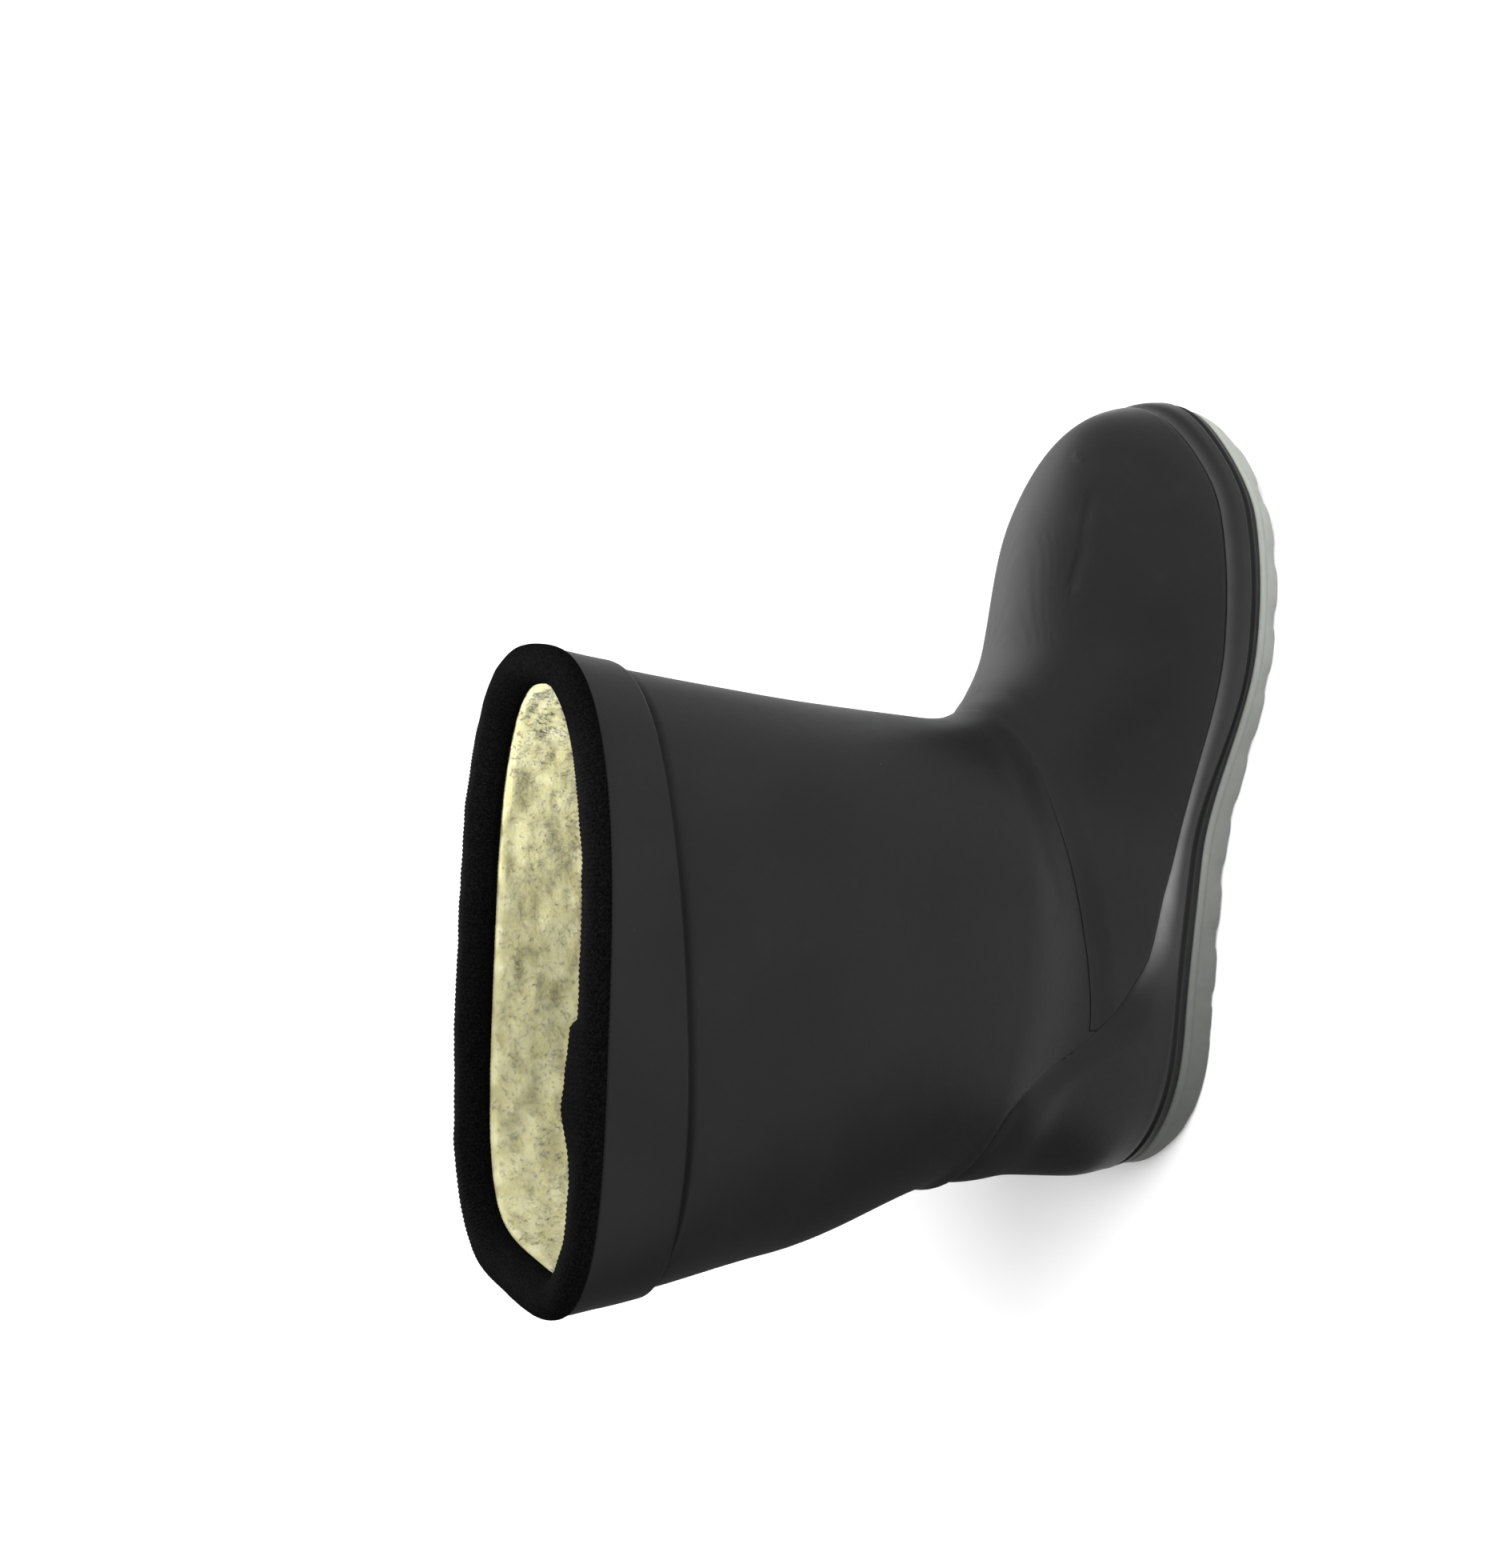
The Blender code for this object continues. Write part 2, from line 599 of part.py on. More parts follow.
def build_insole():
    """Felt sole that lies on the outsole inside the upper."""
    heel = HEEL_END + INSOLE_INSET
    toe = TOE_END - INSOLE_INSET
    turns = np.linspace(INSOLE_END_TURN, math.pi - INSOLE_END_TURN, INSOLE_STATIONS)
    sections = []
    for station in (heel + toe) / 2 - (toe - heel) / 2 * np.cos(turns):
        inner, outer, centre = foot_plan(station, -INSOLE_INSET)
        low = feather_line(station) - SOLE_TOP_DROP + GAP
        high = low + INSOLE_THICK
        sections.append([
            (station, centre - inner, low),
            (station, centre + outer, low),
            (station, centre + outer, high - INSOLE_ROUND),
            (station, centre + outer - INSOLE_ROUND, high),
            (station, centre, high),
            (station, centre - inner + INSOLE_ROUND, high),
            (station, centre - inner, high - INSOLE_ROUND),
        ])
    felt = principled("felt", (0.55, 0.52, 0.42), 0.95)
    loft("insole", sections, felt, tube=True)


for old in list(bpy.data.objects):
    bpy.data.objects.remove(old, do_unlink=True)
boot_collection = bpy.data.collections.new(OBJECT_NAME)
bpy.context.scene.collection.children.link(boot_collection)
boot_root = bpy.data.objects.new(OBJECT_NAME + "_root", None)
boot_collection.objects.link(boot_root)

skin_columns = [Column(angle) for angle in column_angles(COLUMNS)]
build_outsole()
build_insole()
build_upper(skin_columns)
build_vamp(skin_columns)
build_rand(skin_columns)
build_cuff(skin_columns)
build_binding(skin_columns)
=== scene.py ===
"""The looks of a child's lined rubber boot for the left foot, laid over its solids piece by piece.

Sizes are in millimetres until a mesh is written. Stations run along the foot from the back of the boot,
and the origin lies on the floor under the middle of the heel seat.
"""

import math
from collections import namedtuple

import bmesh
import bpy
import numpy as np
from mathutils import Matrix, Vector, noise


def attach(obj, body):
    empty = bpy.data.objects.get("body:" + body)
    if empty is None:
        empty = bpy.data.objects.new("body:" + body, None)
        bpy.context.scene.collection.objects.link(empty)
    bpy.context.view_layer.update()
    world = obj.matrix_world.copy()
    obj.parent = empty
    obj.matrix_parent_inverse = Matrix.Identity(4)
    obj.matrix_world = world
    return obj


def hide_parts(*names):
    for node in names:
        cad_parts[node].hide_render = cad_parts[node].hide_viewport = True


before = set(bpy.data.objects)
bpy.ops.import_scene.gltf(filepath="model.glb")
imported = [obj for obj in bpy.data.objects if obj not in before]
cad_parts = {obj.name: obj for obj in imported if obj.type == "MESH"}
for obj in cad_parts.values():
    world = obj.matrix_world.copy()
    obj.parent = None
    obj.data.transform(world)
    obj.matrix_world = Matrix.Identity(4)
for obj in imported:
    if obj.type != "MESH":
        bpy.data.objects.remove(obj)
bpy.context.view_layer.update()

# Camera
# It stands above the inner side of the boot and is turned on its side, so that the toe points up in the
# picture and the collar to the left.
MM = 0.001
VIEW_AZIMUTH = math.radians(6.07)
VIEW_ELEVATION = math.radians(29.05)
VIEW_ROLL = math.radians(-82.49)
VIEW_DISTANCE = 351.0
VIEW_TARGET = Vector((54.1, 4.6, 103.5))
FOCAL_PIXELS = 2200.0
LONG_SIDE_PIXELS = 1960.0
SENSOR = 36.0
VIEW_NEAREST = 10.0

backward = Vector((
    -math.sin(VIEW_AZIMUTH) * math.cos(VIEW_ELEVATION),
    -math.cos(VIEW_AZIMUTH) * math.cos(VIEW_ELEVATION),
    math.sin(VIEW_ELEVATION),
))
level_right = Vector((0, 0, 1)).cross(backward).normalized()
level_up = backward.cross(level_right)
right = level_right * math.cos(VIEW_ROLL) + level_up * math.sin(VIEW_ROLL)
up = level_up * math.cos(VIEW_ROLL) - level_right * math.sin(VIEW_ROLL)
camera_data = bpy.data.cameras.new("camera")
camera_data.sensor_width = SENSOR
camera_data.lens = FOCAL_PIXELS * SENSOR / LONG_SIDE_PIXELS
camera_data.clip_start = VIEW_NEAREST * MM
camera = bpy.data.objects.new("camera", camera_data)
bpy.context.scene.collection.objects.link(camera)
camera.matrix_world = Matrix.Translation((VIEW_TARGET + backward * VIEW_DISTANCE) * MM) @ Matrix((
    right, up, backward)).transposed().to_4x4()
bpy.context.scene.camera = camera

# Outsole
# A moulded sole of grey rubber with a rounded lip along its top, bowed lugs under the foot and a heel block
# that is rolled at the back. A painted highlight lies along the lip, and painted light makes the sole paler
# towards the toe. It is cemented under the upper and closes it.
HEEL_SEAT = 20.0
HEEL_END = 1.6
TOE_END = 167.0
HEEL_ROUND = 31.0
HEEL_POWER = 2.2
TOE_ROUND = 57.0
TOE_POWER = 2.34
TOE_SWING = -9.7
SWING_START = 70.0
FootSection = namedtuple("FootSection", "station inner outer feather")
FOOT_SECTIONS = (
    FootSection(station=0.0, inner=20.6, outer=20.6, feather=9.0),
    FootSection(station=25.0, inner=20.6, outer=20.6, feather=9.0),
    FootSection(station=68.0, inner=22.1, outer=23.7, feather=8.2),
    FootSection(station=112.0, inner=30.7, outer=30.2, feather=6.2),
    FootSection(station=140.0, inner=29.6, outer=29.2, feather=7.0),
    FootSection(station=168.0, inner=26.6, outer=26.2, feather=12.7),
)
SOLE_TOP_DROP = 0.5
SOLE_PROUD = 0.3
LIP_PROUD = 0.4
LIP_TALL = 1.4
LIP_DRAFT = 0.4
LIP_ROUND = 0.25
FLOOR_BEVEL = 0.4
BEVEL_WIDTH = 0.8
FLOOR_INSET = 0.9
HEEL_EDGE_LIFT = 2.6
HEEL_EDGE_LENGTH = 26.0
HEEL_EDGE_SHARE = 0.86   # share of the half width from which the heel's edge is rounded up
LUG_SWELL = 0.3
GROOVE_INSET = 0.15
LUG_FIRST = 44.75
LUG_PITCH = 13.6
LUG_COUNT = 9
LUG_LENGTH = 9.4
LUG_DEPTH = 2.2
LUG_ROUND = 0.9
LUG_BOW = 4.0
BOW_FADE = 25.0
SIPE_DEPTH = 0.6         # fine cut along the middle of each lug
SIPE_WIDTH = 0.5
SIPE_REACH = 0.6
TOE_LAND = 4.5           # uncut tread at the tip
HEEL_LENGTH = 36.5
HEEL_GROOVES = (11.0, 29.5)
HEEL_GROOVE_WIDTH = 3.0
HEEL_GROOVE_DEPTH = 1.6
HEEL_ROLL_LENGTH = 13.0
HEEL_ROLL = 3.5
ARCH_START = 38.0
ARCH_END = 82.0
ARCH_RISE = 1.4
ARCH_EDGE = 0.25
SPRING_START = 124.0
TOE_SPRING = 7.3
GROOVE_REACH = 0.75
GROOVE_FADE = 0.12
GROOVE_EDGE = 0.1
SOLE_STATIONS = 420
SOLE_ACROSS = 49
SOLE_END_TURN = 0.003    # how close to the tips of heel and toe the mesh is closed
TIP_FADE = 3.0           # half width below which lip and inset run out at the tips
WALL_STEPS = 7
WALL_FIRST = 0.12        # share of the wall's height at its first step over the floor edge
STEP_PROUD = 0.75        # shares of the lip's own measures at the step under it
STEP_DRAFT = 0.2
TOP_SHARES = (0.8, 0.0, -0.8)
SOLE_GREY = (0.050, 0.053, 0.048)
# The paler grey is painted light: the highlight along the lip and the light on the sole towards the toe
SOLE_PAINTED_LIGHT = (0.27, 0.285, 0.262)
GREY_SPREAD = 0.1
TOE_LIGHT_START = 0.0     # painted light: the sole is painted paler towards the toe, where the light falls
TOE_LIGHT_FULL = 162.0
TOE_PAINTED_LIGHT = 0.8
LIP_HIGHLIGHT_START = 30.0    # and a painted highlight on its lip, from the heel forward
LIP_HIGHLIGHT_FULL = 95.0
LIP_HIGHLIGHT_HEEL = 0.03
LIP_HIGHLIGHT_BALL = 0.15
LIP_HIGHLIGHTS = (0.6, 0.8, 1.2, 3.0)  # painted highlight from the step up to the lip's top, where it is brightest


def table_curve(rows, key, column):
    """Return a smooth curve of one column of a table, level at both ends and without overshoot."""
    knots = np.array([getattr(row, key) for row in rows])
    values = np.array([getattr(row, column) for row in rows])
    step = np.diff(knots)
    slope = np.diff(values) / step
    tangent = np.zeros(len(knots))
    for i in range(1, len(knots) - 1):
        before, after = slope[i - 1], slope[i]
        if before * after > 0:
            near = 2 * step[i] + step[i - 1]
            far = step[i] + 2 * step[i - 1]
            tangent[i] = (near + far) / (near / before + far / after)

    def curve(at):
        at = np.clip(at, knots[0], knots[-1])
        i = np.clip(np.searchsorted(knots, at, side="right") - 1, 0, len(step) - 1)
        t = (at - knots[i]) / step[i]
        rise = t * t * (3 - 2 * t)
        start_pull = t * (1 - t) ** 2 * step[i] * tangent[i]
        end_pull = t * t * (t - 1) * step[i] * tangent[i + 1]
        return values[i] + rise * (values[i + 1] - values[i]) + start_pull + end_pull

    return curve


inner_half, outer_half, feather_line = [
    table_curve(FOOT_SECTIONS, "station", column) for column in ("inner", "outer", "feather")]


def ease(at, start, end):
    """Rise softly from 0 at start to 1 at end."""
    t = np.clip((at - start) / (end - start), 0, 1)
    return t * t * (3 - 2 * t)


def foot_plan(station, grow=0.0):
    """Half widths to the inner and outer side of the centre line, and the centre line, seen from above."""
    heel = HEEL_END - grow
    toe = TOE_END + grow
    from_heel = np.clip((heel + HEEL_ROUND - station) / HEEL_ROUND, 0, 1)
    from_toe = np.clip((station - toe + TOE_ROUND) / TOE_ROUND, 0, 1)
    closing = np.sqrt(1 - from_heel ** HEEL_POWER) * np.sqrt(1 - from_toe ** TOE_POWER)
    swing = np.clip((station - SWING_START) / (TOE_END - SWING_START), 0, None)
    inner = (inner_half(station) + grow) * closing
    outer = (outer_half(station) + grow) * closing
    return inner, outer, TOE_SWING * swing ** 2


def lug_distance(row):
    """Distance of a tread row from the middle of its nearest lug."""
    nearest = np.clip(np.round((row - LUG_FIRST) / LUG_PITCH), 0, LUG_COUNT - 1)
    return np.abs(row - LUG_FIRST - nearest * LUG_PITCH)


def tread_cut(row, across):
    """Depth of the grooves at a tread row, fading towards the sides of the sole."""
    off_lug = ease(lug_distance(row), LUG_LENGTH / 2 - LUG_ROUND / 2, LUG_LENGTH / 2 + LUG_ROUND / 2)
    forefoot = ease(row, HEEL_LENGTH, HEEL_LENGTH + LUG_ROUND)
    tip = 1 - ease(row, TOE_END - TOE_LAND - LUG_ROUND, TOE_END - TOE_LAND)
    cut = LUG_DEPTH * off_lug * forefoot * tip
    for start in HEEL_GROOVES:
        into = ease(row, start - LUG_ROUND / 2, start + LUG_ROUND / 2)
        out = ease(row, start + HEEL_GROOVE_WIDTH - LUG_ROUND / 2, start + HEEL_GROOVE_WIDTH + LUG_ROUND / 2)
        cut = cut + HEEL_GROOVE_DEPTH * (into - out)
    at_side = ease(np.abs(across), GROOVE_REACH - GROOVE_FADE / 2, GROOVE_REACH + GROOVE_FADE / 2)
    cut = cut * (1 - (1 - GROOVE_EDGE) * at_side)
    sipe = np.exp(-(lug_distance(row) / SIPE_WIDTH) ** 2) * forefoot
    return cut + SIPE_DEPTH * sipe * (1 - ease(np.abs(across), SIPE_REACH, SIPE_REACH + GROOVE_FADE))


def tread_level(station, across):
    """Height of the uncut tread over the floor: rolled heel, arch and toe spring."""
    roll = HEEL_ROLL * np.clip((HEEL_ROLL_LENGTH - station) / HEEL_ROLL_LENGTH, 0, 1) ** 2
    in_arch = np.clip((station - ARCH_START) / (ARCH_END - ARCH_START), 0, 1)
    arch = ARCH_RISE * np.sin(math.pi * in_arch) ** 2 * (1 - (1 - ARCH_EDGE) * across ** 2)
    spring = TOE_SPRING * np.clip((station - SPRING_START) / (TOE_END - SPRING_START), 0, 1) ** 2
    return roll + arch + spring


def lay_piece(name, points, finish, ring=False, tube=False, painted_light=None):
    """Make a piece from a grid of points: ring closes the grid along its length, and tube around it.

    Each point's share of painted light, a second and paler colour that stands in for highlights and light,
    is kept with the mesh for its finish.
    """
    count, steps = points.shape[:2]
    index = np.arange(count * steps).reshape(count, steps)
    corners = np.vstack([index, index[:1]]) if ring else index
    corners = np.hstack([corners, corners[:, :1]]) if tube else corners
    quads = np.stack([corners[:-1, :-1], corners[1:, :-1], corners[1:, 1:], corners[:-1, 1:]], axis=-1)
    faces = quads.reshape(-1, 4).tolist()
    if tube and not ring:
        faces.append(index[0].tolist())
        faces.append(index[-1].tolist())
    placed = (points.reshape(-1, 3) - (HEEL_SEAT, 0, 0)) * MM
    mesh = bpy.data.meshes.new(name)
    mesh.from_pydata(placed.tolist(), [], faces)
    outward = bmesh.new()
    outward.from_mesh(mesh)
    bmesh.ops.recalc_face_normals(outward, faces=outward.faces)
    outward.to_mesh(mesh)
    outward.free()
    # Share of painted light per point, for highlights and light painted into the colour
    if painted_light is not None:
        shares = mesh.attributes.new("painted_light", "FLOAT", "POINT")
        shares.data.foreach_set("value", painted_light.astype(np.float32).ravel())
    mesh.shade_smooth()
    mesh.materials.append(finish.material)
    piece = bpy.data.objects.new(name, mesh)
    bpy.context.scene.collection.objects.link(piece)
    return piece


class Wire:
    """A socket of a shader that takes part in formulas as a number does."""

    def __init__(self, finish, socket):
        self.finish = finish
        self.socket = socket

    def joined(self, operation, first, second):
        return self.finish.node("ShaderNodeMath", {"operation": operation}, {0: first, 1: second})

    def __add__(self, other):
        return self.joined("ADD", self, other)

    def __radd__(self, other):
        return self.joined("ADD", other, self)

    def __mul__(self, other):
        return self.joined("MULTIPLY", self, other)

    def __rmul__(self, other):
        return self.joined("MULTIPLY", other, self)

    def __lt__(self, other):
        return self.joined("LESS_THAN", self, other)


class Finish:
    """A material whose nodes are put together in formulas, measured in millimetres on the boot."""

    def __init__(self, name, settings):
        self.material = bpy.data.materials.new(name)
        self.material.use_nodes = True
        self.tree = self.material.node_tree
        self.shader = self.tree.nodes["Principled BSDF"]
        for key, value in settings.items():
            self.shader.inputs[key].default_value = value
        place = self.node("ShaderNodeTexCoord", out="Object")
        self.place = self.node("ShaderNodeVectorMath", {"operation": "SCALE"}, {0: place, "Scale": 1 / MM})

    def node(self, kind, settings=None, sockets=None, out=0):
        """Add a node: its settings first, then the values or links of its sockets."""
        made = self.tree.nodes.new(kind)
        for key, value in (settings or {}).items():
            setattr(made, key, value)
        for key, value in (sockets or {}).items():
            if isinstance(value, Wire):
                self.tree.links.new(value.socket, made.inputs[key])
            else:
                made.inputs[key].default_value = value
        return Wire(self, made.outputs[out])

    def cloud(self, size, detail=2.0, stretch=None):
        """Soft noise from 0 to 1 with patches of about this size."""
        place = self.place
        if stretch:
            place = self.node("ShaderNodeVectorMath", {"operation": "MULTIPLY"}, {0: place, 1: stretch})
        return self.node("ShaderNodeTexNoise", None, {"Vector": place, "Scale": 1 / size, "Detail": detail})

    def between(self, value, low, high):
        """Spread a value's range from low to high over 0 to 1, with soft ends."""
        ends = {"Value": value, "From Min": low, "From Max": high}
        return self.node("ShaderNodeMapRange", {"interpolation_type": "SMOOTHSTEP"}, ends)

    def blend(self, share, first, second):
        """Mix two colours."""
        sides = [side if isinstance(side, Wire) else (*side, 1.0) for side in (first, second)]
        return self.node("ShaderNodeMix", {"data_type": "RGBA"}, {0: share, 6: sides[0], 7: sides[1]}, out=2)

    def specks(self, spread, size, share):
        """Scattered dots: one possible place in each cell of this spread, taken by a share of the cells."""
        grid = {"Vector": self.place, "Scale": 1 / spread}
        cells = self.node("ShaderNodeTexVoronoi", None, grid)
        lot = self.node("ShaderNodeTexVoronoi", None, grid, out="Color")
        drawn = self.node("ShaderNodeSeparateColor", None, {0: lot})
        return (cells < size / spread) * (drawn < share)

    def paint(self, color, height, depth, rough=None):
        """Join what varies over the surface to the shader: height is raised by this depth."""
        self.tree.links.new(color.socket, self.shader.inputs["Base Color"])
        if rough:
            self.tree.links.new(rough.socket, self.shader.inputs["Roughness"])
        bump = self.node("ShaderNodeBump", None, {"Height": height, "Distance": depth * MM})
        self.tree.links.new(bump.socket, self.shader.inputs["Normal"])


sole_ends = HEEL_END - SOLE_PROUD, TOE_END + SOLE_PROUD
sole_turns = np.linspace(SOLE_END_TURN, math.pi - SOLE_END_TURN, SOLE_STATIONS)
sole_stations = sum(sole_ends) / 2 - np.diff(sole_ends)[0] / 2 * np.cos(sole_turns)
sole_across = np.sin(np.linspace(-math.pi / 2, math.pi / 2, SOLE_ACROSS))
station, across = np.meshgrid(sole_stations, sole_across, indexing="ij")
inner, outer, centre = foot_plan(station, SOLE_PROUD)
bowing = np.clip((station - HEEL_LENGTH) / BOW_FADE, 0, 1) * np.clip((TOE_END - station) / BOW_FADE, 0, 1)
tread_row = station - LUG_BOW * bowing * (1 - across ** 2)
on_lug = 1 - ease(lug_distance(station), LUG_LENGTH / 4, LUG_LENGTH / 2 + LUG_ROUND)
in_lugs = ease(station, HEEL_LENGTH, HEEL_LENGTH + LUG_ROUND)
swell = ((LUG_SWELL + GROOVE_INSET) * on_lug - GROOVE_INSET) * in_lugs
half = np.where(across < 0, inner, outer)
to_side = np.clip((BEVEL_WIDTH - half * (1 - np.abs(across))) / BEVEL_WIDTH, 0, 1)
heel_edge = HEEL_EDGE_LIFT * np.clip((HEEL_EDGE_LENGTH - station) / HEEL_EDGE_LENGTH, 0, 1) ** 2
heel_edge = heel_edge * np.clip((np.abs(across) - HEEL_EDGE_SHARE) / (1 - HEEL_EDGE_SHARE), 0, 1)
tread = tread_level(station, across) + tread_cut(tread_row, across) + FLOOR_BEVEL * to_side ** 2 + heel_edge
tread_half = half + (swell - FLOOR_INSET) * np.clip(half / TIP_FADE, 0, 1)
underside = np.stack([station, centre + across * tread_half, tread], axis=-1)


def sole_wall(side):
    """The sole's side from its floor edge to its top: swelling lugs, a step and the rounded lip."""
    edge = underside[:, -1] if side > 0 else underside[:, 0]
    level = edge[:, 0]
    half_width = outer[:, -1] if side > 0 else inner[:, 0]
    top = feather_line(level) - SOLE_TOP_DROP
    lip = top - LIP_TALL
    rows = []
    for share in np.linspace(WALL_FIRST, 1, WALL_STEPS):
        proud = swell[:, 0] * (1 - share ** 2) - FLOOR_INSET * (1 - share) ** 2
        rows.append((proud, edge[:, 2] + (lip - LIP_DRAFT - edge[:, 2]) * share))
    rows.append((np.full_like(lip, LIP_PROUD * STEP_PROUD), lip - LIP_DRAFT * STEP_DRAFT))
    rows.append((np.full_like(lip, LIP_PROUD), lip + LIP_ROUND))
    rows.append((np.full_like(lip, LIP_PROUD), top - LIP_ROUND))
    rows.append((np.full_like(lip, LIP_PROUD - LIP_ROUND), top))
    tip = np.clip(half_width / TIP_FADE, 0, 1)
    points = []
    for proud, height in rows:
        across = centre[:, 0] + side * (half_width + proud * tip)
        points.append(np.stack([level, across, height], axis=-1))
    return np.stack(points, axis=1)


sole_top = np.stack([
    np.stack([sole_stations, centre[:, 0] + share * half[:, -1 if share > 0 else 0],
              feather_line(sole_stations) - SOLE_TOP_DROP], axis=-1)
    for share in TOP_SHARES
], axis=1)
sole_points = np.concatenate([underside, sole_wall(1), sole_top, sole_wall(-1)[:, ::-1]], axis=1)
# Painted highlight along the lip, paler from the heel forward, and painted light that grows towards the toe
wall_highlight = np.concatenate([np.zeros(WALL_STEPS), LIP_HIGHLIGHTS])
lip_highlight = np.concatenate([np.zeros(SOLE_ACROSS), wall_highlight, np.ones(len(TOP_SHARES)), wall_highlight[::-1]])
lip_highlight_share = LIP_HIGHLIGHT_HEEL + (LIP_HIGHLIGHT_BALL - LIP_HIGHLIGHT_HEEL) * ease(
    sole_stations, LIP_HIGHLIGHT_START, LIP_HIGHLIGHT_FULL)
lip_highlight = np.outer(lip_highlight_share, lip_highlight)
# Painted light on the sole, growing from the heel towards the toe
toe_light = TOE_PAINTED_LIGHT * ease(sole_stations, TOE_LIGHT_START, TOE_LIGHT_FULL)[:, None]
sole_painted_light = 1 - (1 - toe_light) * (1 - lip_highlight)

grey_rubber = Finish("sole_grey_rubber", {"Roughness": 0.6, "Specular IOR Level": 0.3})
sole_shade = grey_rubber.cloud(size=16, detail=3) * 0.6 + grey_rubber.cloud(size=2.2, detail=3) * 0.4
# The sole's painted light, kept with the mesh, blends it towards the paler grey
painted_light_share = grey_rubber.node("ShaderNodeAttribute", {"attribute_name": "painted_light"}, out="Fac")
dark_grey = [(1 - GREY_SPREAD) * value for value in SOLE_GREY]
light_grey = [(1 + GREY_SPREAD) * value for value in SOLE_GREY]
grey_color = grey_rubber.blend(grey_rubber.between(sole_shade, low=0.3, high=0.7), dark_grey, light_grey)
grey_rubber.paint(
    color=grey_rubber.blend(painted_light_share * (0.75 + sole_shade * 0.5), grey_color, SOLE_PAINTED_LIGHT),
    rough=0.56 + grey_rubber.cloud(size=1.2, detail=2) * 0.12,
    height=grey_rubber.cloud(size=0.45, detail=2) * 0.4 + grey_rubber.cloud(size=2.5, detail=2),
    depth=0.08,
)
outsole = lay_piece("outsole_moulded", sole_points, grey_rubber, tube=True, painted_light=sole_painted_light)
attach(outsole, "root")
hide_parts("outsole")

# Insole
# A loose sole of cream pile felt, cut to the last and laid on the outsole inside the upper.
GAP = 0.3
INSOLE_THICK = 4.0
INSOLE_INSET = 2.7
INSOLE_ROUND = 1.2
INSOLE_STATIONS = 150
INSOLE_ACROSS = 41
INSOLE_END_TURN = 0.05   # how close to heel and toe the mesh is closed
UNDER_STEP = 6           # its underside is flat and takes only every sixth point
FELT_UNEVEN = 0.35
FELT_SIZE = 3.0
FELT_LIGHT = (0.62, 0.58, 0.44)
FELT_DARK = (0.44, 0.40, 0.28)


def rough_cloud(points, size, octaves=2):
    """Smooth random heights of about -1 to 1 at points in space, in patches of about this size."""
    flat = points.reshape(-1, 3) / size
    values = [noise.fractal(Vector(point), 1.0, 2.0, octaves) for point in flat]
    return np.array(values).reshape(points.shape[:-1])


insole_ends = HEEL_END + INSOLE_INSET, TOE_END - INSOLE_INSET
insole_turns = np.linspace(INSOLE_END_TURN, math.pi - INSOLE_END_TURN, INSOLE_STATIONS)
insole_stations = sum(insole_ends) / 2 - np.diff(insole_ends)[0] / 2 * np.cos(insole_turns)
insole_across = np.sin(np.linspace(-math.pi / 2, math.pi / 2, INSOLE_ACROSS))
station, across = np.meshgrid(insole_stations, insole_across, indexing="ij")
inner, outer, centre = foot_plan(station, -INSOLE_INSET)
half = np.where(across < 0, inner, outer)
felt_bottom = feather_line(station) - SOLE_TOP_DROP + GAP
edge_round = np.clip(1 - half * (1 - np.abs(across)) / INSOLE_ROUND, 0, 1)
felt_level = felt_bottom + INSOLE_THICK - INSOLE_ROUND * edge_round ** 2
felt_top = np.stack([station, centre + across * half, felt_level], -1)
felt_top[..., 2] += FELT_UNEVEN * rough_cloud(felt_top, FELT_SIZE) * (1 - edge_round)
felt_under = np.stack([station, centre + across * half, felt_bottom], -1)[:, ::-UNDER_STEP]
felt = Finish("insole_felt", {"Roughness": 0.95, "Sheen Weight": 0.3})
felt_mottle = felt.cloud(size=2.6, detail=4) * 0.6 + felt.cloud(size=0.7, detail=3) * 0.4
felt.paint(
    color=felt.blend(felt.between(felt_mottle, low=0.35, high=0.68), FELT_DARK, FELT_LIGHT),
    height=felt.cloud(size=0.5, detail=4),
    depth=0.5,
)
insole = lay_piece("insole_felt_sole", np.concatenate([felt_top, felt_under], axis=1), felt, tube=True)
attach(insole, "root")
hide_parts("insole")

# Upper
# One shell of black rubber, moulded on the last: a leg that is slack at the collar, and the foot. It is 2 mm
# thick, and its lower edge is cemented to the sole. It folds at the ankle, the toes and over the counter.
AXIS = 42.0
NOSE_LENGTH = 30.0
NOSE_DROP = 2.4
NOSE_ROUND = 2.2
SIDE_POWER = 2.3
SIDE_BULGE = 0.10
RidgeSection = namedtuple("RidgeSection", "station height")
RIDGE_SECTIONS = (
    RidgeSection(station=40.0, height=96.0),
    RidgeSection(station=88.0, height=49.6),
    RidgeSection(station=112.0, height=37.7),
    RidgeSection(station=133.0, height=36.3),
    RidgeSection(station=168.0, height=29.8),
)
# Each section may be skewed, its outer side further forward than its inner one
LegSection = namedtuple("LegSection", "height back front half back_power front_power skew")
LEG_SECTIONS = (
    LegSection(height=0.0, back=2.6, front=75.0, half=20.6, back_power=2.2, front_power=2.2, skew=0.0),
    LegSection(height=14.0, back=0.2, front=77.0, half=22.0, back_power=2.2, front_power=2.2, skew=0.0),
    LegSection(height=30.0, back=0.4, front=79.5, half=23.8, back_power=2.2, front_power=2.2, skew=0.0),
    LegSection(height=50.0, back=-3.0, front=91.8, half=30.2, back_power=2.2, front_power=2.2, skew=0.0),
    LegSection(height=92.0, back=-16.8, front=90.9, half=33.4, back_power=2.2, front_power=2.4, skew=0.02),
    LegSection(height=132.5, back=-22.3, front=92.3, half=31.8, back_power=3.2, front_power=2.6, skew=0.12),
    LegSection(height=141.1, back=-22.8, front=92.8, half=31.7, back_power=3.5, front_power=2.6, skew=0.13),
)
RIM_HEIGHT = LEG_SECTIONS[-1].height
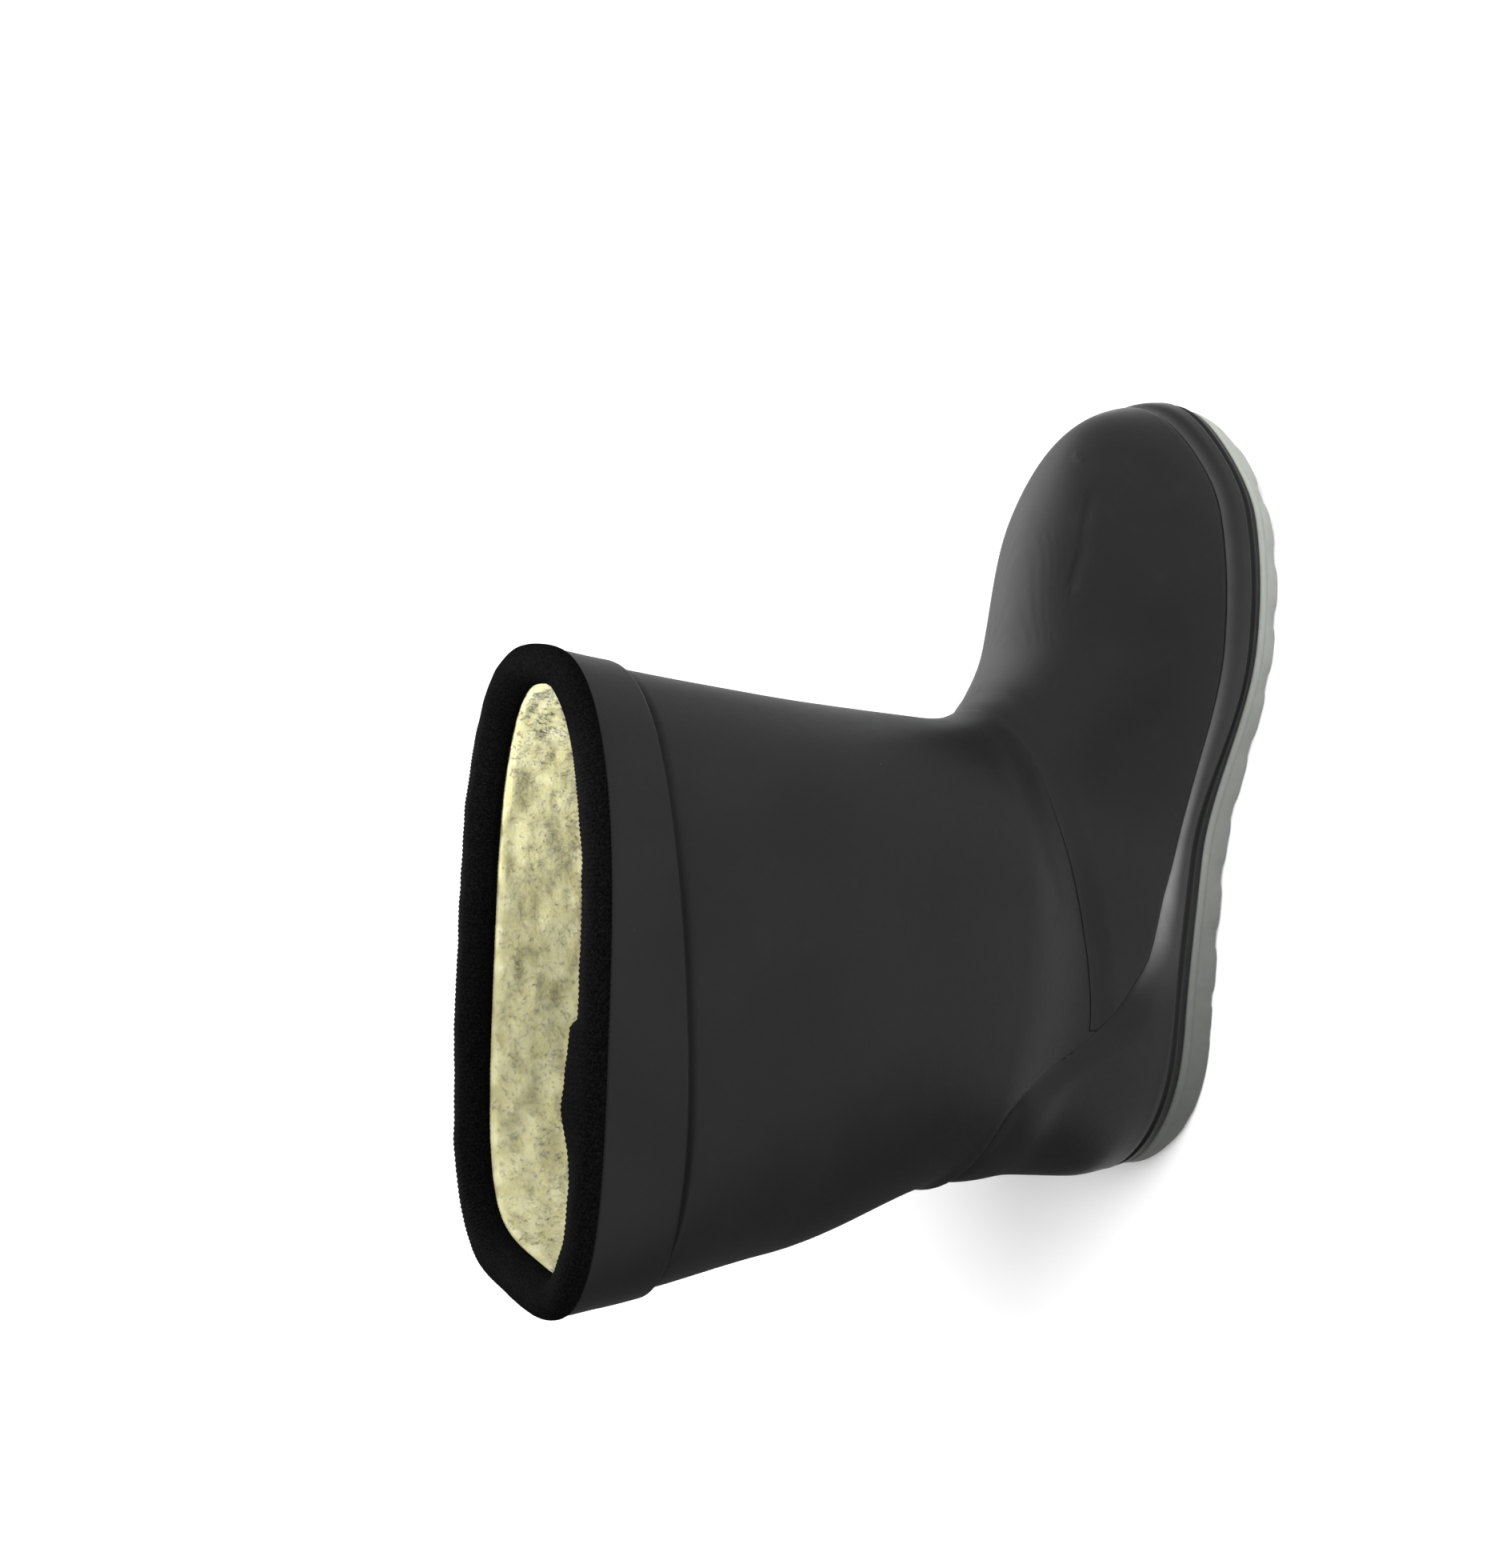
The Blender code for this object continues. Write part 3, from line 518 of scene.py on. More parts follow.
HEEL_FEATHER = FOOT_SECTIONS[0].feather
FEATHER_FADE = 90.0
RIM_TILT = math.radians(3.3)
TILT_START = 60.0
TILT_STATION = 36.0
FILLET_SIDE = 1.5
FILLET_FRONT = 15.5
FILLET_FADE = 10.0
EdgePoint = namedtuple("EdgePoint", "angle height")
RAND_EDGE = (
    EdgePoint(angle=0.0, height=10.5),
    EdgePoint(angle=25.0, height=9.2),
    EdgePoint(angle=34.0, height=7.4),
    EdgePoint(angle=55.0, height=10.4),
    EdgePoint(angle=78.0, height=12.3),
    EdgePoint(angle=98.0, height=17.3),
    EdgePoint(angle=120.0, height=26.9),
    EdgePoint(angle=137.0, height=44.2),
    EdgePoint(angle=150.0, height=46.9),
    EdgePoint(angle=180.0, height=49.2),
)
# A crease follows a path on the skin, given by station, distance across and height over the floor. It has a
# width above the path and another below it, and a ridge has a negative depth
Crease = namedtuple("Crease", "path above below depth")
CREASES = (
    Crease(path=((140.2, -15.6, 38.8), (135.7, -15.7, 39.7), (129.7, -15.7, 40.2), (126.7, -15.2, 40.6),
                 (122.2, -14.3, 41.2)), above=0.5, below=2.2, depth=0.42),
    Crease(path=((151.7, -9.6, 37.7), (149.9, -11.6, 37.7)), above=0.45, below=0.45, depth=-0.16),
    Crease(path=((109.8, -19.5, 38.6), (110.2, -20.5, 37.7)), above=0.4, below=0.4, depth=-0.14),
    Crease(path=((100.8, -16.0, 43.7), (99.6, -16.0, 44.2)), above=0.4, below=0.4, depth=-0.16),
    Crease(path=((95.0, -16.0, 56.0), (84.0, -30.0, 60.0)), above=6.0, below=6.0, depth=0.5),
    Crease(path=((95.0, 16.0, 56.0), (84.0, 30.0, 60.0)), above=6.0, below=6.0, depth=0.5),
)
HEEL_FOLD_START = 138.0  # degrees from the toe where the fold over the counter begins
HEEL_FOLD_FULL = 172.0
HEEL_FOLD_HEIGHT = 3.2   # over the counter's edge
HEEL_FOLD_LOW = 0.4      # share of that height where the fold begins
HEEL_FOLD_WIDTH = 2.2
HEEL_FOLD_PROUD = 1.0
COUNTER_NIP = 0.8        # the shell is drawn in where the counter ends
COUNTER_NIP_WIDTH = 1.1
NIP_START = 131.0        # degrees from the toe between which the nip comes in
NIP_FULL = 150.0
SKIN_UNEVEN = 0.14
SKIN_PATCH = 22.0
WALL = 2.0
CUFF_FRONT = 12.8        # cuff's lower edge below the rim, at the front and the back
CUFF_BACK = 18.5
CUFF_TROUGH = 0.65       # the shell is pressed in along the cuff's lower edge
TROUGH_BELOW = 0.6
TROUGH_WIDTH = 0.8
TROUGH_REACH = 2.5       # rows stand close together this far below the edge and over it
TROUGH_OVER = 0.65
UPPER_COLUMNS = 300
LEG_ROWS = 196
TROUGH_ROWS = 16
COLLAR_ROWS = 10
LINER_ROWS = 40
RAY_LENGTH = 150.0
BISECTIONS = 34
COLUMN_SAMPLES = 260
GIRTH_SAMPLES = 1440
LEAST = 0.01
RUBBER_BLACK = (0.0076, 0.0076, 0.0078)
RUBBER_WORN = (0.0112, 0.0112, 0.0114)
DUST = (0.12, 0.12, 0.11)
FINE_DUST = 0.6          # strength of the finer specks beside the coarse ones
RUBBER_ROUGHNESS = 0.42
RUBBER_GLOSS = 0.10

ridge_table = table_curve(RIDGE_SECTIONS, "station", "height")
leg_curves = [table_curve(LEG_SECTIONS, "height", column) for column in LegSection._fields[1:]]
rand_edge_height = table_curve(RAND_EDGE, "angle", "height")


def ridge_height(station):
    """Height of the foot's ridge above the feather line."""
    nose = np.clip((station - TOE_END + NOSE_LENGTH) / NOSE_LENGTH, 0, 1)
    return ridge_table(station) * (1 - nose ** NOSE_DROP) ** (1 / NOSE_ROUND)


def reach(angle, inside):
    """Distance from the axis at which each ray leaves a form, found by halving."""
    near = np.zeros_like(angle)
    far = np.full_like(angle, RAY_LENGTH)
    for _ in range(BISECTIONS):
        middle = (near + far) / 2
        hit = inside(AXIS + middle * np.cos(angle), middle * np.sin(angle))
        near = np.where(hit, middle, near)
        far = np.where(hit, far, middle)
    return near


def leg_reach(angle, height):
    """Reach of the leg, whose level sections are squared ovals, skewed towards the collar."""
    back, front, half, back_power, front_power, skew = [curve(height) for curve in leg_curves]

    def inside(station, across):
        along = (station - skew * across - (front + back) / 2) / ((front - back) / 2)
        power = np.where(along < 0, back_power, front_power)
        return np.abs(along) ** power + np.abs(across / half) ** power < 1

    return reach(angle, inside)


def foot_reach(angle, height):
    """Reach of the foot, whose cross sections arch from the feather line over the ridge."""
    def inside(station, across):
        inner, outer, centre = foot_plan(station)
        ridge = np.maximum(ridge_height(station), LEAST)
        share = np.clip(height / ridge, 0, 1)
        arch = np.sqrt(1 - share ** SIDE_POWER)
        arch = arch * (1 + SIDE_BULGE * np.sin(math.pi * share) * (1 - share))
        from_centre = across - centre * (1 - share / 2)
        half = np.where(from_centre < 0, inner, outer)
        in_length = (station > HEEL_END) & (station < TOE_END)
        return in_length & (height < ridge) & (np.abs(from_centre) < half * arch)

    return reach(angle, inside)


def skin(angle, height):
    """The upper's outer skin: leg and foot blended, on the feather line, under the tilted rim."""
    leg = leg_reach(angle, height)
    foot = foot_reach(angle, height)
    blend = FILLET_SIDE + FILLET_FRONT * np.clip(np.cos(angle), 0, 1) ** 2
    blend = blend * np.clip(height / FILLET_FADE, 0, 1) + LEAST
    meeting = np.clip(1 - np.abs(leg - foot) / blend, 0, None)
    radius = np.maximum(leg, foot) + meeting ** 2 * blend / 4
    station = AXIS + radius * np.cos(angle)
    follow = np.clip(1 - height / FEATHER_FADE, 0, 1)
    lean = np.clip((height - TILT_START) / (RIM_HEIGHT - TILT_START), 0, 1)
    level = height + feather_line(station) * follow + HEEL_FEATHER * (1 - follow)
    level = level + math.tan(RIM_TILT) * (station - TILT_STATION) * lean
    return np.stack([station, radius * np.sin(angle), level], axis=-1)


def crease_height(points, crease):
    """Depth below the skin, or height over it, that a crease gives these points."""
    path = np.array(crease.path)
    nearest = np.full(points.shape[:-1], np.inf)
    width = np.full(points.shape[:-1], crease.above)
    for start, end in zip(path, path[1:]):
        run = end - start
        share = np.clip(((points - start) @ run) / (run @ run), 0, 1)
        off = points - start - share[..., None] * run
        away = np.linalg.norm(off, axis=-1)
        side = np.where(off[..., 2] < 0, crease.below, crease.above)
        width = np.where(away < nearest, side, width)
        nearest = np.minimum(nearest, away)
    return -crease.depth * np.exp(-(nearest / width) ** 2)


def folds(angle, height, points):
    """All soft troughs and ridges of the skin: creases, the fold over the counter and slow unevenness."""
    total = SKIN_UNEVEN * rough_cloud(points, SKIN_PATCH, 1)
    for crease in CREASES:
        total = total + crease_height(points, crease)
    turned = np.abs(np.degrees(angle))
    behind = ease(turned, HEEL_FOLD_START, HEEL_FOLD_FULL)
    over_counter = height - rand_edge_height(turned)
    fold_height = HEEL_FOLD_HEIGHT * (HEEL_FOLD_LOW + (1 - HEEL_FOLD_LOW) * behind)
    ridge = np.exp(-((over_counter - fold_height) / HEEL_FOLD_WIDTH) ** 2)
    nip = np.exp(-(over_counter / COUNTER_NIP_WIDTH) ** 2) * ease(turned, NIP_START, NIP_FULL)
    return total + HEEL_FOLD_PROUD * behind * ridge - COUNTER_NIP * nip


class Columns:
    """Upright lines on the skin, each measured along its length from the feather line or a height over it."""

    def __init__(self, angles, low=0.0, ring=True):
        self.angles = angles
        self.heights = np.linspace(low, RIM_HEIGHT, COLUMN_SAMPLES)
        self.skin = skin(*np.meshgrid(angles, self.heights, indexing="ij"))
        if ring:
            along = np.roll(self.skin, -1, axis=0) - np.roll(self.skin, 1, axis=0)
        else:
            along = np.gradient(self.skin, axis=0)
        normals = np.cross(along, np.gradient(self.skin, axis=1))
        self.normals = normals / np.linalg.norm(normals, axis=-1, keepdims=True)
        runs = np.linalg.norm(np.diff(self.skin, axis=1), axis=2)
        self.lengths = np.concatenate([np.zeros((len(angles), 1)), np.cumsum(runs, axis=1)], axis=1)
        self.total = self.lengths[:, -1]

    def lengths_at(self, heights):
        """Length up each column to a height that each has for itself."""
        return np.array([np.interp(height, self.heights, row) for height, row in zip(heights, self.lengths)])

    def read(self, lengths, values):
        """Values measured at the columns' own samples, read at other lengths up each column."""
        flat = values.reshape(*self.lengths.shape, -1)
        rows = []
        for at, have, column in zip(lengths, self.lengths, flat):
            rows.append(np.stack([np.interp(at, have, part) for part in column.T], axis=-1))
        return np.array(rows)

    def points(self, lengths, proud):
        """Points at these lengths up each column, standing proud of the creased skin."""
        heights = self.read(lengths, np.broadcast_to(self.heights, self.lengths.shape))[..., 0]
        angles = np.broadcast_to(self.angles[:, None], lengths.shape)
        points = self.read(lengths, self.skin)
        out = folds(angles, heights, points) + proud
        return points + self.read(lengths, self.normals) * out[..., None]


def even_angles(count, height):
    """Angles that share out evenly the girth at the feather line and at this height."""
    fine = np.linspace(-math.pi, math.pi, GIRTH_SAMPLES + 1)
    measure = np.zeros(GIRTH_SAMPLES)
    for level in (0.0, height):
        ring = skin(fine, np.full(len(fine), level))[:, :2]
        measure += np.linalg.norm(np.diff(ring, axis=0), axis=1)
    shares = np.concatenate([[0], np.cumsum(measure)])
    return np.interp(np.arange(count) / count * shares[-1], shares, fine)


def cuff_drop(angles):
    """Distance of the cuff's lower edge below the rim, longer round the back."""
    return CUFF_FRONT + (CUFF_BACK - CUFF_FRONT) * (1 - np.cos(angles)) / 2


def black_rubber(name, roughness, highlight_grey=None):
    """Satin moulded rubber: fine grain, slow change of shade, rubbed streaks and a few specks of dust.

    Where the piece has a painted highlight along its edge, that grey comes in by the share kept with the
    mesh.
    """
    finish = Finish(name, {"Roughness": roughness, "Specular IOR Level": RUBBER_GLOSS})
    slow = finish.between(finish.cloud(size=28, detail=3), low=0.3, high=0.7)
    rubbed = finish.between(finish.cloud(size=5.0, detail=4, stretch=(0.5, 1.0, 1.0)), low=0.58, high=0.78)
    color = finish.blend(slow * 0.5 + rubbed * 0.3, RUBBER_BLACK, RUBBER_WORN)
    # A painted highlight in grey along the edge, where the piece has one
    if highlight_grey:
        highlight_share = finish.node("ShaderNodeAttribute", {"attribute_name": "painted_light"}, out="Fac")
        color = finish.blend(highlight_share * (0.8 + finish.cloud(size=4.0, detail=3) * 0.4), color, highlight_grey)
    coarse_dust = finish.specks(spread=12.0, size=0.22, share=0.35)
    dust = coarse_dust + finish.specks(spread=7.0, size=0.10, share=0.4) * FINE_DUST
    finish.paint(
        color=finish.blend(dust, color, DUST),
        rough=roughness - 0.03 + slow * 0.05 + rubbed * 0.06 + dust * 0.3,
        height=finish.cloud(size=0.28, detail=2) * 0.35 + finish.cloud(size=1.4, detail=2) * 0.5,
        depth=0.05,
    )
    return finish


upper_columns = Columns(even_angles(UPPER_COLUMNS, RIM_HEIGHT))
rim = upper_columns.total[:, None]
cuff_line = rim - cuff_drop(upper_columns.angles)[:, None]
outside_rows = np.concatenate([
    (cuff_line - TROUGH_REACH) * np.linspace(0, 1, LEG_ROWS),
    cuff_line - TROUGH_REACH + (TROUGH_REACH + TROUGH_OVER) * np.linspace(0, 1, TROUGH_ROWS)[1:],
    cuff_line + TROUGH_OVER + (rim - cuff_line - TROUGH_OVER) * np.linspace(0, 1, COLLAR_ROWS)[1:],
], axis=1)
trough = CUFF_TROUGH * np.exp(-((outside_rows - cuff_line + TROUGH_BELOW) / TROUGH_WIDTH) ** 2)
inside_rows = np.linspace(1, 0, LINER_ROWS) * rim
upper_points = np.concatenate([
    upper_columns.points(outside_rows, -trough),
    upper_columns.points(inside_rows, np.full(inside_rows.shape, -WALL)),
], axis=1)
leg_rubber = black_rubber("leg_rubber", RUBBER_ROUGHNESS)
upper = lay_piece("upper_shell", upper_points, leg_rubber, ring=True, tube=True)
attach(upper, "root")
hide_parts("upper")

# Vamp
# The front panel of smoother rubber over the shell, from the strip at the sole up to a fine seam that runs
# from the instep back to the counter. It is pressed on, and its upper edge is thinned to a low step.
VAMP_EDGE = (
    EdgePoint(angle=0.0, height=47.6),
    EdgePoint(angle=12.0, height=46.5),
    EdgePoint(angle=23.0, height=43.4),
    EdgePoint(angle=36.0, height=39.3),
    EdgePoint(angle=48.0, height=35.4),
    EdgePoint(angle=66.0, height=31.8),
    EdgePoint(angle=91.0, height=28.9),
    EdgePoint(angle=117.0, height=27.3),
    EdgePoint(angle=137.0, height=62.0),
    EdgePoint(angle=180.0, height=84.0),
)
VAMP_END = 117.0
VAMP_PROUD = 1.1         # panel's face over the shell
SEAM_PROUD = 0.16        # thinned upper edge, which runs out to nothing over the instep
SEAM_INSTEP = 0.02
SEAM_START = 22.0        # degrees from the toe between which the seam comes in
SEAM_FULL = 50.0
VAMP_THINNING = 7.0
VAMP_TURN = 1.3          # the lower edge rounds over towards the strip at the sole
VAMP_LOW_PROUD = 0.45
VAMP_COLUMNS = 480
VAMP_GATHER = 12.0       # columns stand closer together within about this many degrees of the toe
CREASE_CROWDING = 0.35   # and closest along the crease over the toes
CREASE_ANGLE = -9.6
CREASE_SPAN = 1.6
PLACE_SAMPLES = 4001
VAMP_ROUGHNESS = 0.43
VAMP_TURN_ROWS = 7
VAMP_ROWS = 110
VAMP_BACK_ROWS = 70
CLOSE_TO_EDGE = 0.998    # place of the last row before an edge, so that the edge is shaded crisply
vamp_edge_height = table_curve(VAMP_EDGE, "angle", "height")

fine_degrees = np.linspace(-VAMP_END, VAMP_END, PLACE_SAMPLES)
crowding = 1 / (VAMP_GATHER + np.abs(fine_degrees))
crowding = crowding + CREASE_CROWDING * np.exp(-((fine_degrees - CREASE_ANGLE) / CREASE_SPAN) ** 2)
crowding = np.cumsum(crowding)
vamp_places = np.linspace(crowding[0], crowding[-1], VAMP_COLUMNS)
vamp_degrees = np.interp(vamp_places, crowding, fine_degrees)
vamp_columns = Columns(np.radians(vamp_degrees), ring=False)
turned = np.abs(vamp_degrees)
vamp_low = vamp_columns.lengths_at(rand_edge_height(turned))[:, None]
vamp_high = vamp_columns.lengths_at(vamp_edge_height(turned))[:, None]
seam_proud = (SEAM_INSTEP + (SEAM_PROUD - SEAM_INSTEP) * ease(turned, SEAM_START, SEAM_FULL))[:, None]
turn_rows = vamp_low + VAMP_TURN * np.linspace(0, 1, VAMP_TURN_ROWS)[:-1]
panel_shares = np.append(np.linspace(0, 1, VAMP_ROWS)[:-1], (CLOSE_TO_EDGE, 1.0))
panel_rows = vamp_low + VAMP_TURN + (vamp_high - vamp_low - VAMP_TURN) * panel_shares
vamp_rows = np.concatenate([turn_rows, panel_rows], axis=1)
vamp_proud = seam_proud + (VAMP_PROUD - seam_proud) * ease(vamp_high - vamp_rows, 0, VAMP_THINNING)
turned_over = 1 - np.clip((vamp_rows - vamp_low) / VAMP_TURN, 0, 1)
vamp_proud = vamp_proud - (VAMP_PROUD - VAMP_LOW_PROUD) * turned_over ** 2
back_rows = vamp_low + (vamp_high - vamp_low) * np.linspace(1, 0, VAMP_BACK_ROWS)
back_proud = np.full(back_rows.shape, SEAM_INSTEP / 2)
vamp_points = vamp_columns.points(
    np.concatenate([vamp_rows, back_rows], axis=1), np.concatenate([vamp_proud, back_proud], axis=1))
vamp_rubber = black_rubber("vamp_rubber", VAMP_ROUGHNESS)
vamp = lay_piece("vamp_panel", vamp_points, vamp_rubber, tube=True)
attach(vamp, "root")
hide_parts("vamp")

# Rand and heel counter
# A strip of black rubber rolled on round the foot where it meets the sole: a recess over the sole, a thin
# bead, a groove and a face that is rounded off, with a painted highlight in grey along its upper edge. Behind
# the arch it rises into the counter that holds the heel.
RECESS_PROUD = 0.6
RECESS_TALL = 2.0
BEAD_PROUD = 1.3
BEAD_TALL = 1.0
BEAD_STEPS = 9
GROOVE_PROUD = 0.9
GROOVE_TALL = 1.4
RAND_FACE = 1.8
FACE_ROUND = 0.5
RAND_THIN = 0.3          # thickness left at the upper edge of the strip and of the counter
COUNTER_THIN = 0.03
RAND_BEVEL = 5.0         # longest stretch over which strip and counter are rounded off
COUNTER_BEVEL = 12.0
BEVEL_SHARE = 0.7        # most of the face that is rounded off where the strip is narrow
BEVEL_POWER = 2.3
COUNTER_START = 85.0     # degrees from the toe between which the strip turns into the counter
COUNTER_FULL = 125.0
RUN_OUT_START = 98.0     # degrees between which the counter's edge runs out softly into the leg
RUN_OUT_FULL = 114.0
RUN_OUT_FADE = 130.0
RUN_OUT_END = 144.0
RAND_COLUMNS = 380
RAND_MEASURE = 20.0      # height of the girth that the columns share out, beside that at the sole
ROUND_STEPS = 5
RAND_FACE_ROWS = 20
BEVEL_ROWS = 16
RAND_BACK_ROWS = 14
# The grey of a painted highlight on the strip's rounded upper edge
EDGE_HIGHLIGHT_GREY = (0.16, 0.163, 0.16)
# Degrees from the toe between which the painted highlight comes in, and between which it goes
Highlight = namedtuple("Highlight", "start full fade end")
EDGE_HIGHLIGHT_SPAN = Highlight(start=25.0, full=34.0, fade=42.0, end=104.0)
FACE_HIGHLIGHT_SPAN = Highlight(start=10.0, full=40.0, fade=70.0, end=110.0)
TOE_HIGHLIGHT = 0.2         # share of painted highlight on the edge over the toe
FACE_HIGHLIGHT = 0.10
HIGHLIGHT_WIDENS = (26.0, 58.0)
HIGHLIGHT_NARROW = 4.0         # powers by which the painted highlight narrows towards the edge, at the toe and along the side
HIGHLIGHT_WIDE = 1.4

rand_columns = Columns(even_angles(RAND_COLUMNS, RAND_MEASURE))
turned = np.abs(np.degrees(rand_columns.angles))[:, None]
counter = ease(turned, COUNTER_START, COUNTER_FULL)
rand_top = rand_columns.lengths_at(rand_edge_height(turned[:, 0]))[:, None] - GAP * (1 - counter)
bead_turns = np.linspace(0, math.pi, BEAD_STEPS)
bead_lengths = RECESS_TALL + BEAD_TALL * (1 - np.cos(bead_turns)) / 2
bead_base = np.linspace(RECESS_PROUD, GROOVE_PROUD, BEAD_STEPS)
bead_proud = bead_base + (BEAD_PROUD - bead_base) * np.sin(bead_turns)
groove_end = RECESS_TALL + BEAD_TALL + GROOVE_TALL
round_turns = np.linspace(0, math.pi / 2, ROUND_STEPS)
low_lengths = np.concatenate([[0.0], bead_lengths, groove_end + FACE_ROUND * (1 - np.cos(round_turns))])
low_proud = np.concatenate([
    [RECESS_PROUD], bead_proud, GROOVE_PROUD + (RAND_FACE - GROOVE_PROUD) * np.sin(round_turns)])
face_low = groove_end + FACE_ROUND
bevel_width = RAND_BEVEL + (COUNTER_BEVEL - RAND_BEVEL) * counter
bevel_width = np.minimum(bevel_width, BEVEL_SHARE * (rand_top - face_low))
face_rows = face_low + (rand_top - bevel_width - face_low) * np.linspace(0, 1, RAND_FACE_ROWS + 1)[1:]
bevel_shares = np.append(np.linspace(0, 1, BEVEL_ROWS + 1)[1:-1], (CLOSE_TO_EDGE, 1.0))
bevel_rows = rand_top - bevel_width * (1 - bevel_shares)
edge_thin = RAND_THIN + (COUNTER_THIN - RAND_THIN) * counter
run_out = ease(turned, RUN_OUT_START, RUN_OUT_FULL) * (1 - ease(turned, RUN_OUT_FADE, RUN_OUT_END))
bevel_fall = (1 - run_out) * bevel_shares ** BEVEL_POWER + run_out * ease(bevel_shares, 0, 1)
bevel_proud = RAND_FACE - (RAND_FACE - edge_thin) * bevel_fall
behind_rows = rand_top * np.linspace(1, 0, RAND_BACK_ROWS)
spread = np.ones_like(rand_top)
rand_points = rand_columns.points(
    np.concatenate([spread * low_lengths, face_rows, bevel_rows, behind_rows], axis=1),
    np.concatenate([spread * low_proud, np.full(face_rows.shape, RAND_FACE), bevel_proud,
                    np.full(behind_rows.shape, COUNTER_THIN / 2)], axis=1),
)
# Painted highlight: grey painted along the strip's rounded upper edge, widest at the waist, and faintly over
# its face
edge_highlight = TOE_HIGHLIGHT + (1 - TOE_HIGHLIGHT) * ease(turned, EDGE_HIGHLIGHT_SPAN.start, EDGE_HIGHLIGHT_SPAN.full)
edge_highlight = edge_highlight * (1 - ease(turned, EDGE_HIGHLIGHT_SPAN.fade, EDGE_HIGHLIGHT_SPAN.end))
face_highlight = FACE_HIGHLIGHT * ease(turned, FACE_HIGHLIGHT_SPAN.start, FACE_HIGHLIGHT_SPAN.full)
face_highlight = face_highlight * (1 - ease(turned, FACE_HIGHLIGHT_SPAN.fade, FACE_HIGHLIGHT_SPAN.end))
highlight_power = HIGHLIGHT_NARROW + (HIGHLIGHT_WIDE - HIGHLIGHT_NARROW) * ease(turned, *HIGHLIGHT_WIDENS)
rand_highlight = np.concatenate([
    spread * np.zeros(len(low_lengths)), face_highlight * np.ones(face_rows.shape),
    face_highlight + (edge_highlight - face_highlight) * bevel_shares ** highlight_power,
    np.zeros(behind_rows.shape)], axis=1)
rand_rubber = black_rubber("rand_rubber", RUBBER_ROUGHNESS, highlight_grey=EDGE_HIGHLIGHT_GREY)
rand = lay_piece("rand_and_counter", rand_points, rand_rubber, ring=True, tube=True, painted_light=rand_highlight)
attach(rand, "root")
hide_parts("rand")

# Cuff
# A band of the same rubber round the top of the leg, thicker than the shell, with a rounded lower edge. It is
# deeper at the back, and the tape covers its upper edge.
CUFF_PROUD = 1.1
CUFF_ROUND = 0.6
CUFF_OFF_SHELL = GAP / 3
# The rounded lower edge, in shares of its radius up the leg and below the cuff's face
HemPoint = namedtuple("HemPoint", "rise drop")
CUFF_HEM = (
    HemPoint(rise=0.0, drop=1.9),
    HemPoint(rise=0.06, drop=0.8),
    HemPoint(rise=0.3, drop=0.3),
    HemPoint(rise=0.65, drop=0.06),
)
CUFF_COLUMNS = 300
CUFF_ROWS = 24
CUFF_BACK_ROWS = 8
TAPE_OUTSIDE = 2.0
COLLAR_REACH = 30.0      # depth below the rim that collar pieces are measured in

cuff_columns = Columns(even_angles(CUFF_COLUMNS, RIM_HEIGHT), low=RIM_HEIGHT - COLLAR_REACH)
cuff_low = (cuff_columns.total - cuff_drop(cuff_columns.angles))[:, None]
cuff_high = (cuff_columns.total - TAPE_OUTSIDE + GAP)[:, None]
hem_rise, hem_drop = np.array(CUFF_HEM).T
cuff_hem = cuff_low + CUFF_ROUND * hem_rise
cuff_hem_proud = np.ones_like(cuff_low) * (CUFF_PROUD - CUFF_ROUND * hem_drop)
cuff_face = cuff_low + CUFF_ROUND + (cuff_high - cuff_low - CUFF_ROUND) * np.linspace(0, 1, CUFF_ROWS)
cuff_under = cuff_low + (cuff_high - cuff_low) * np.linspace(1, 0, CUFF_BACK_ROWS)
cuff_points = cuff_columns.points(
    np.concatenate([cuff_hem, cuff_face, cuff_under], axis=1),
    np.concatenate([cuff_hem_proud, np.full(cuff_face.shape, CUFF_PROUD),
                    np.full(cuff_under.shape, CUFF_OFF_SHELL)], axis=1),
)
cuff_rubber = black_rubber("cuff_rubber", RUBBER_ROUGHNESS)
cuff = lay_piece("cuff_band", cuff_points, cuff_rubber, ring=True, tube=True)
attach(cuff, "root")
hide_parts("cuff")

# Binding
# A black rib-knitted tape folded over the rim and sewn through rubber and lining. Its ribs run across the
# tape, and its ends lap over each other on the inner side, where it is thicker and stands up.
TAPE_INSIDE = 4.4
TAPE_THICK = 1.1
LINED_THICK = 3.2
RIM_CROWN = 1.5
RIB_COUNT = 430
RIB_COLUMNS = 4
RIB_PROUD = 0.07
TAPE_UNEVEN = 0.22
TAPE_PATCH = 9.0
LAP_START = 114.0        # degrees from the toe, on the inner side
LAP_STEP = 117.0
LAP_FULL = 131.0
LAP_END = 146.0
LAP_STEP_SHARE = 0.6     # part of the lap that comes in at its cut end
LAP_THICK = 1.8
LAP_RISE = 1.5
LAP_LOW = 3.0            # below the rim, down to which the lap stands up
TAPE_BLACK = (0.0010, 0.0010, 0.0011)
TAPE_LIGHT = (0.0045, 0.0045, 0.0047)

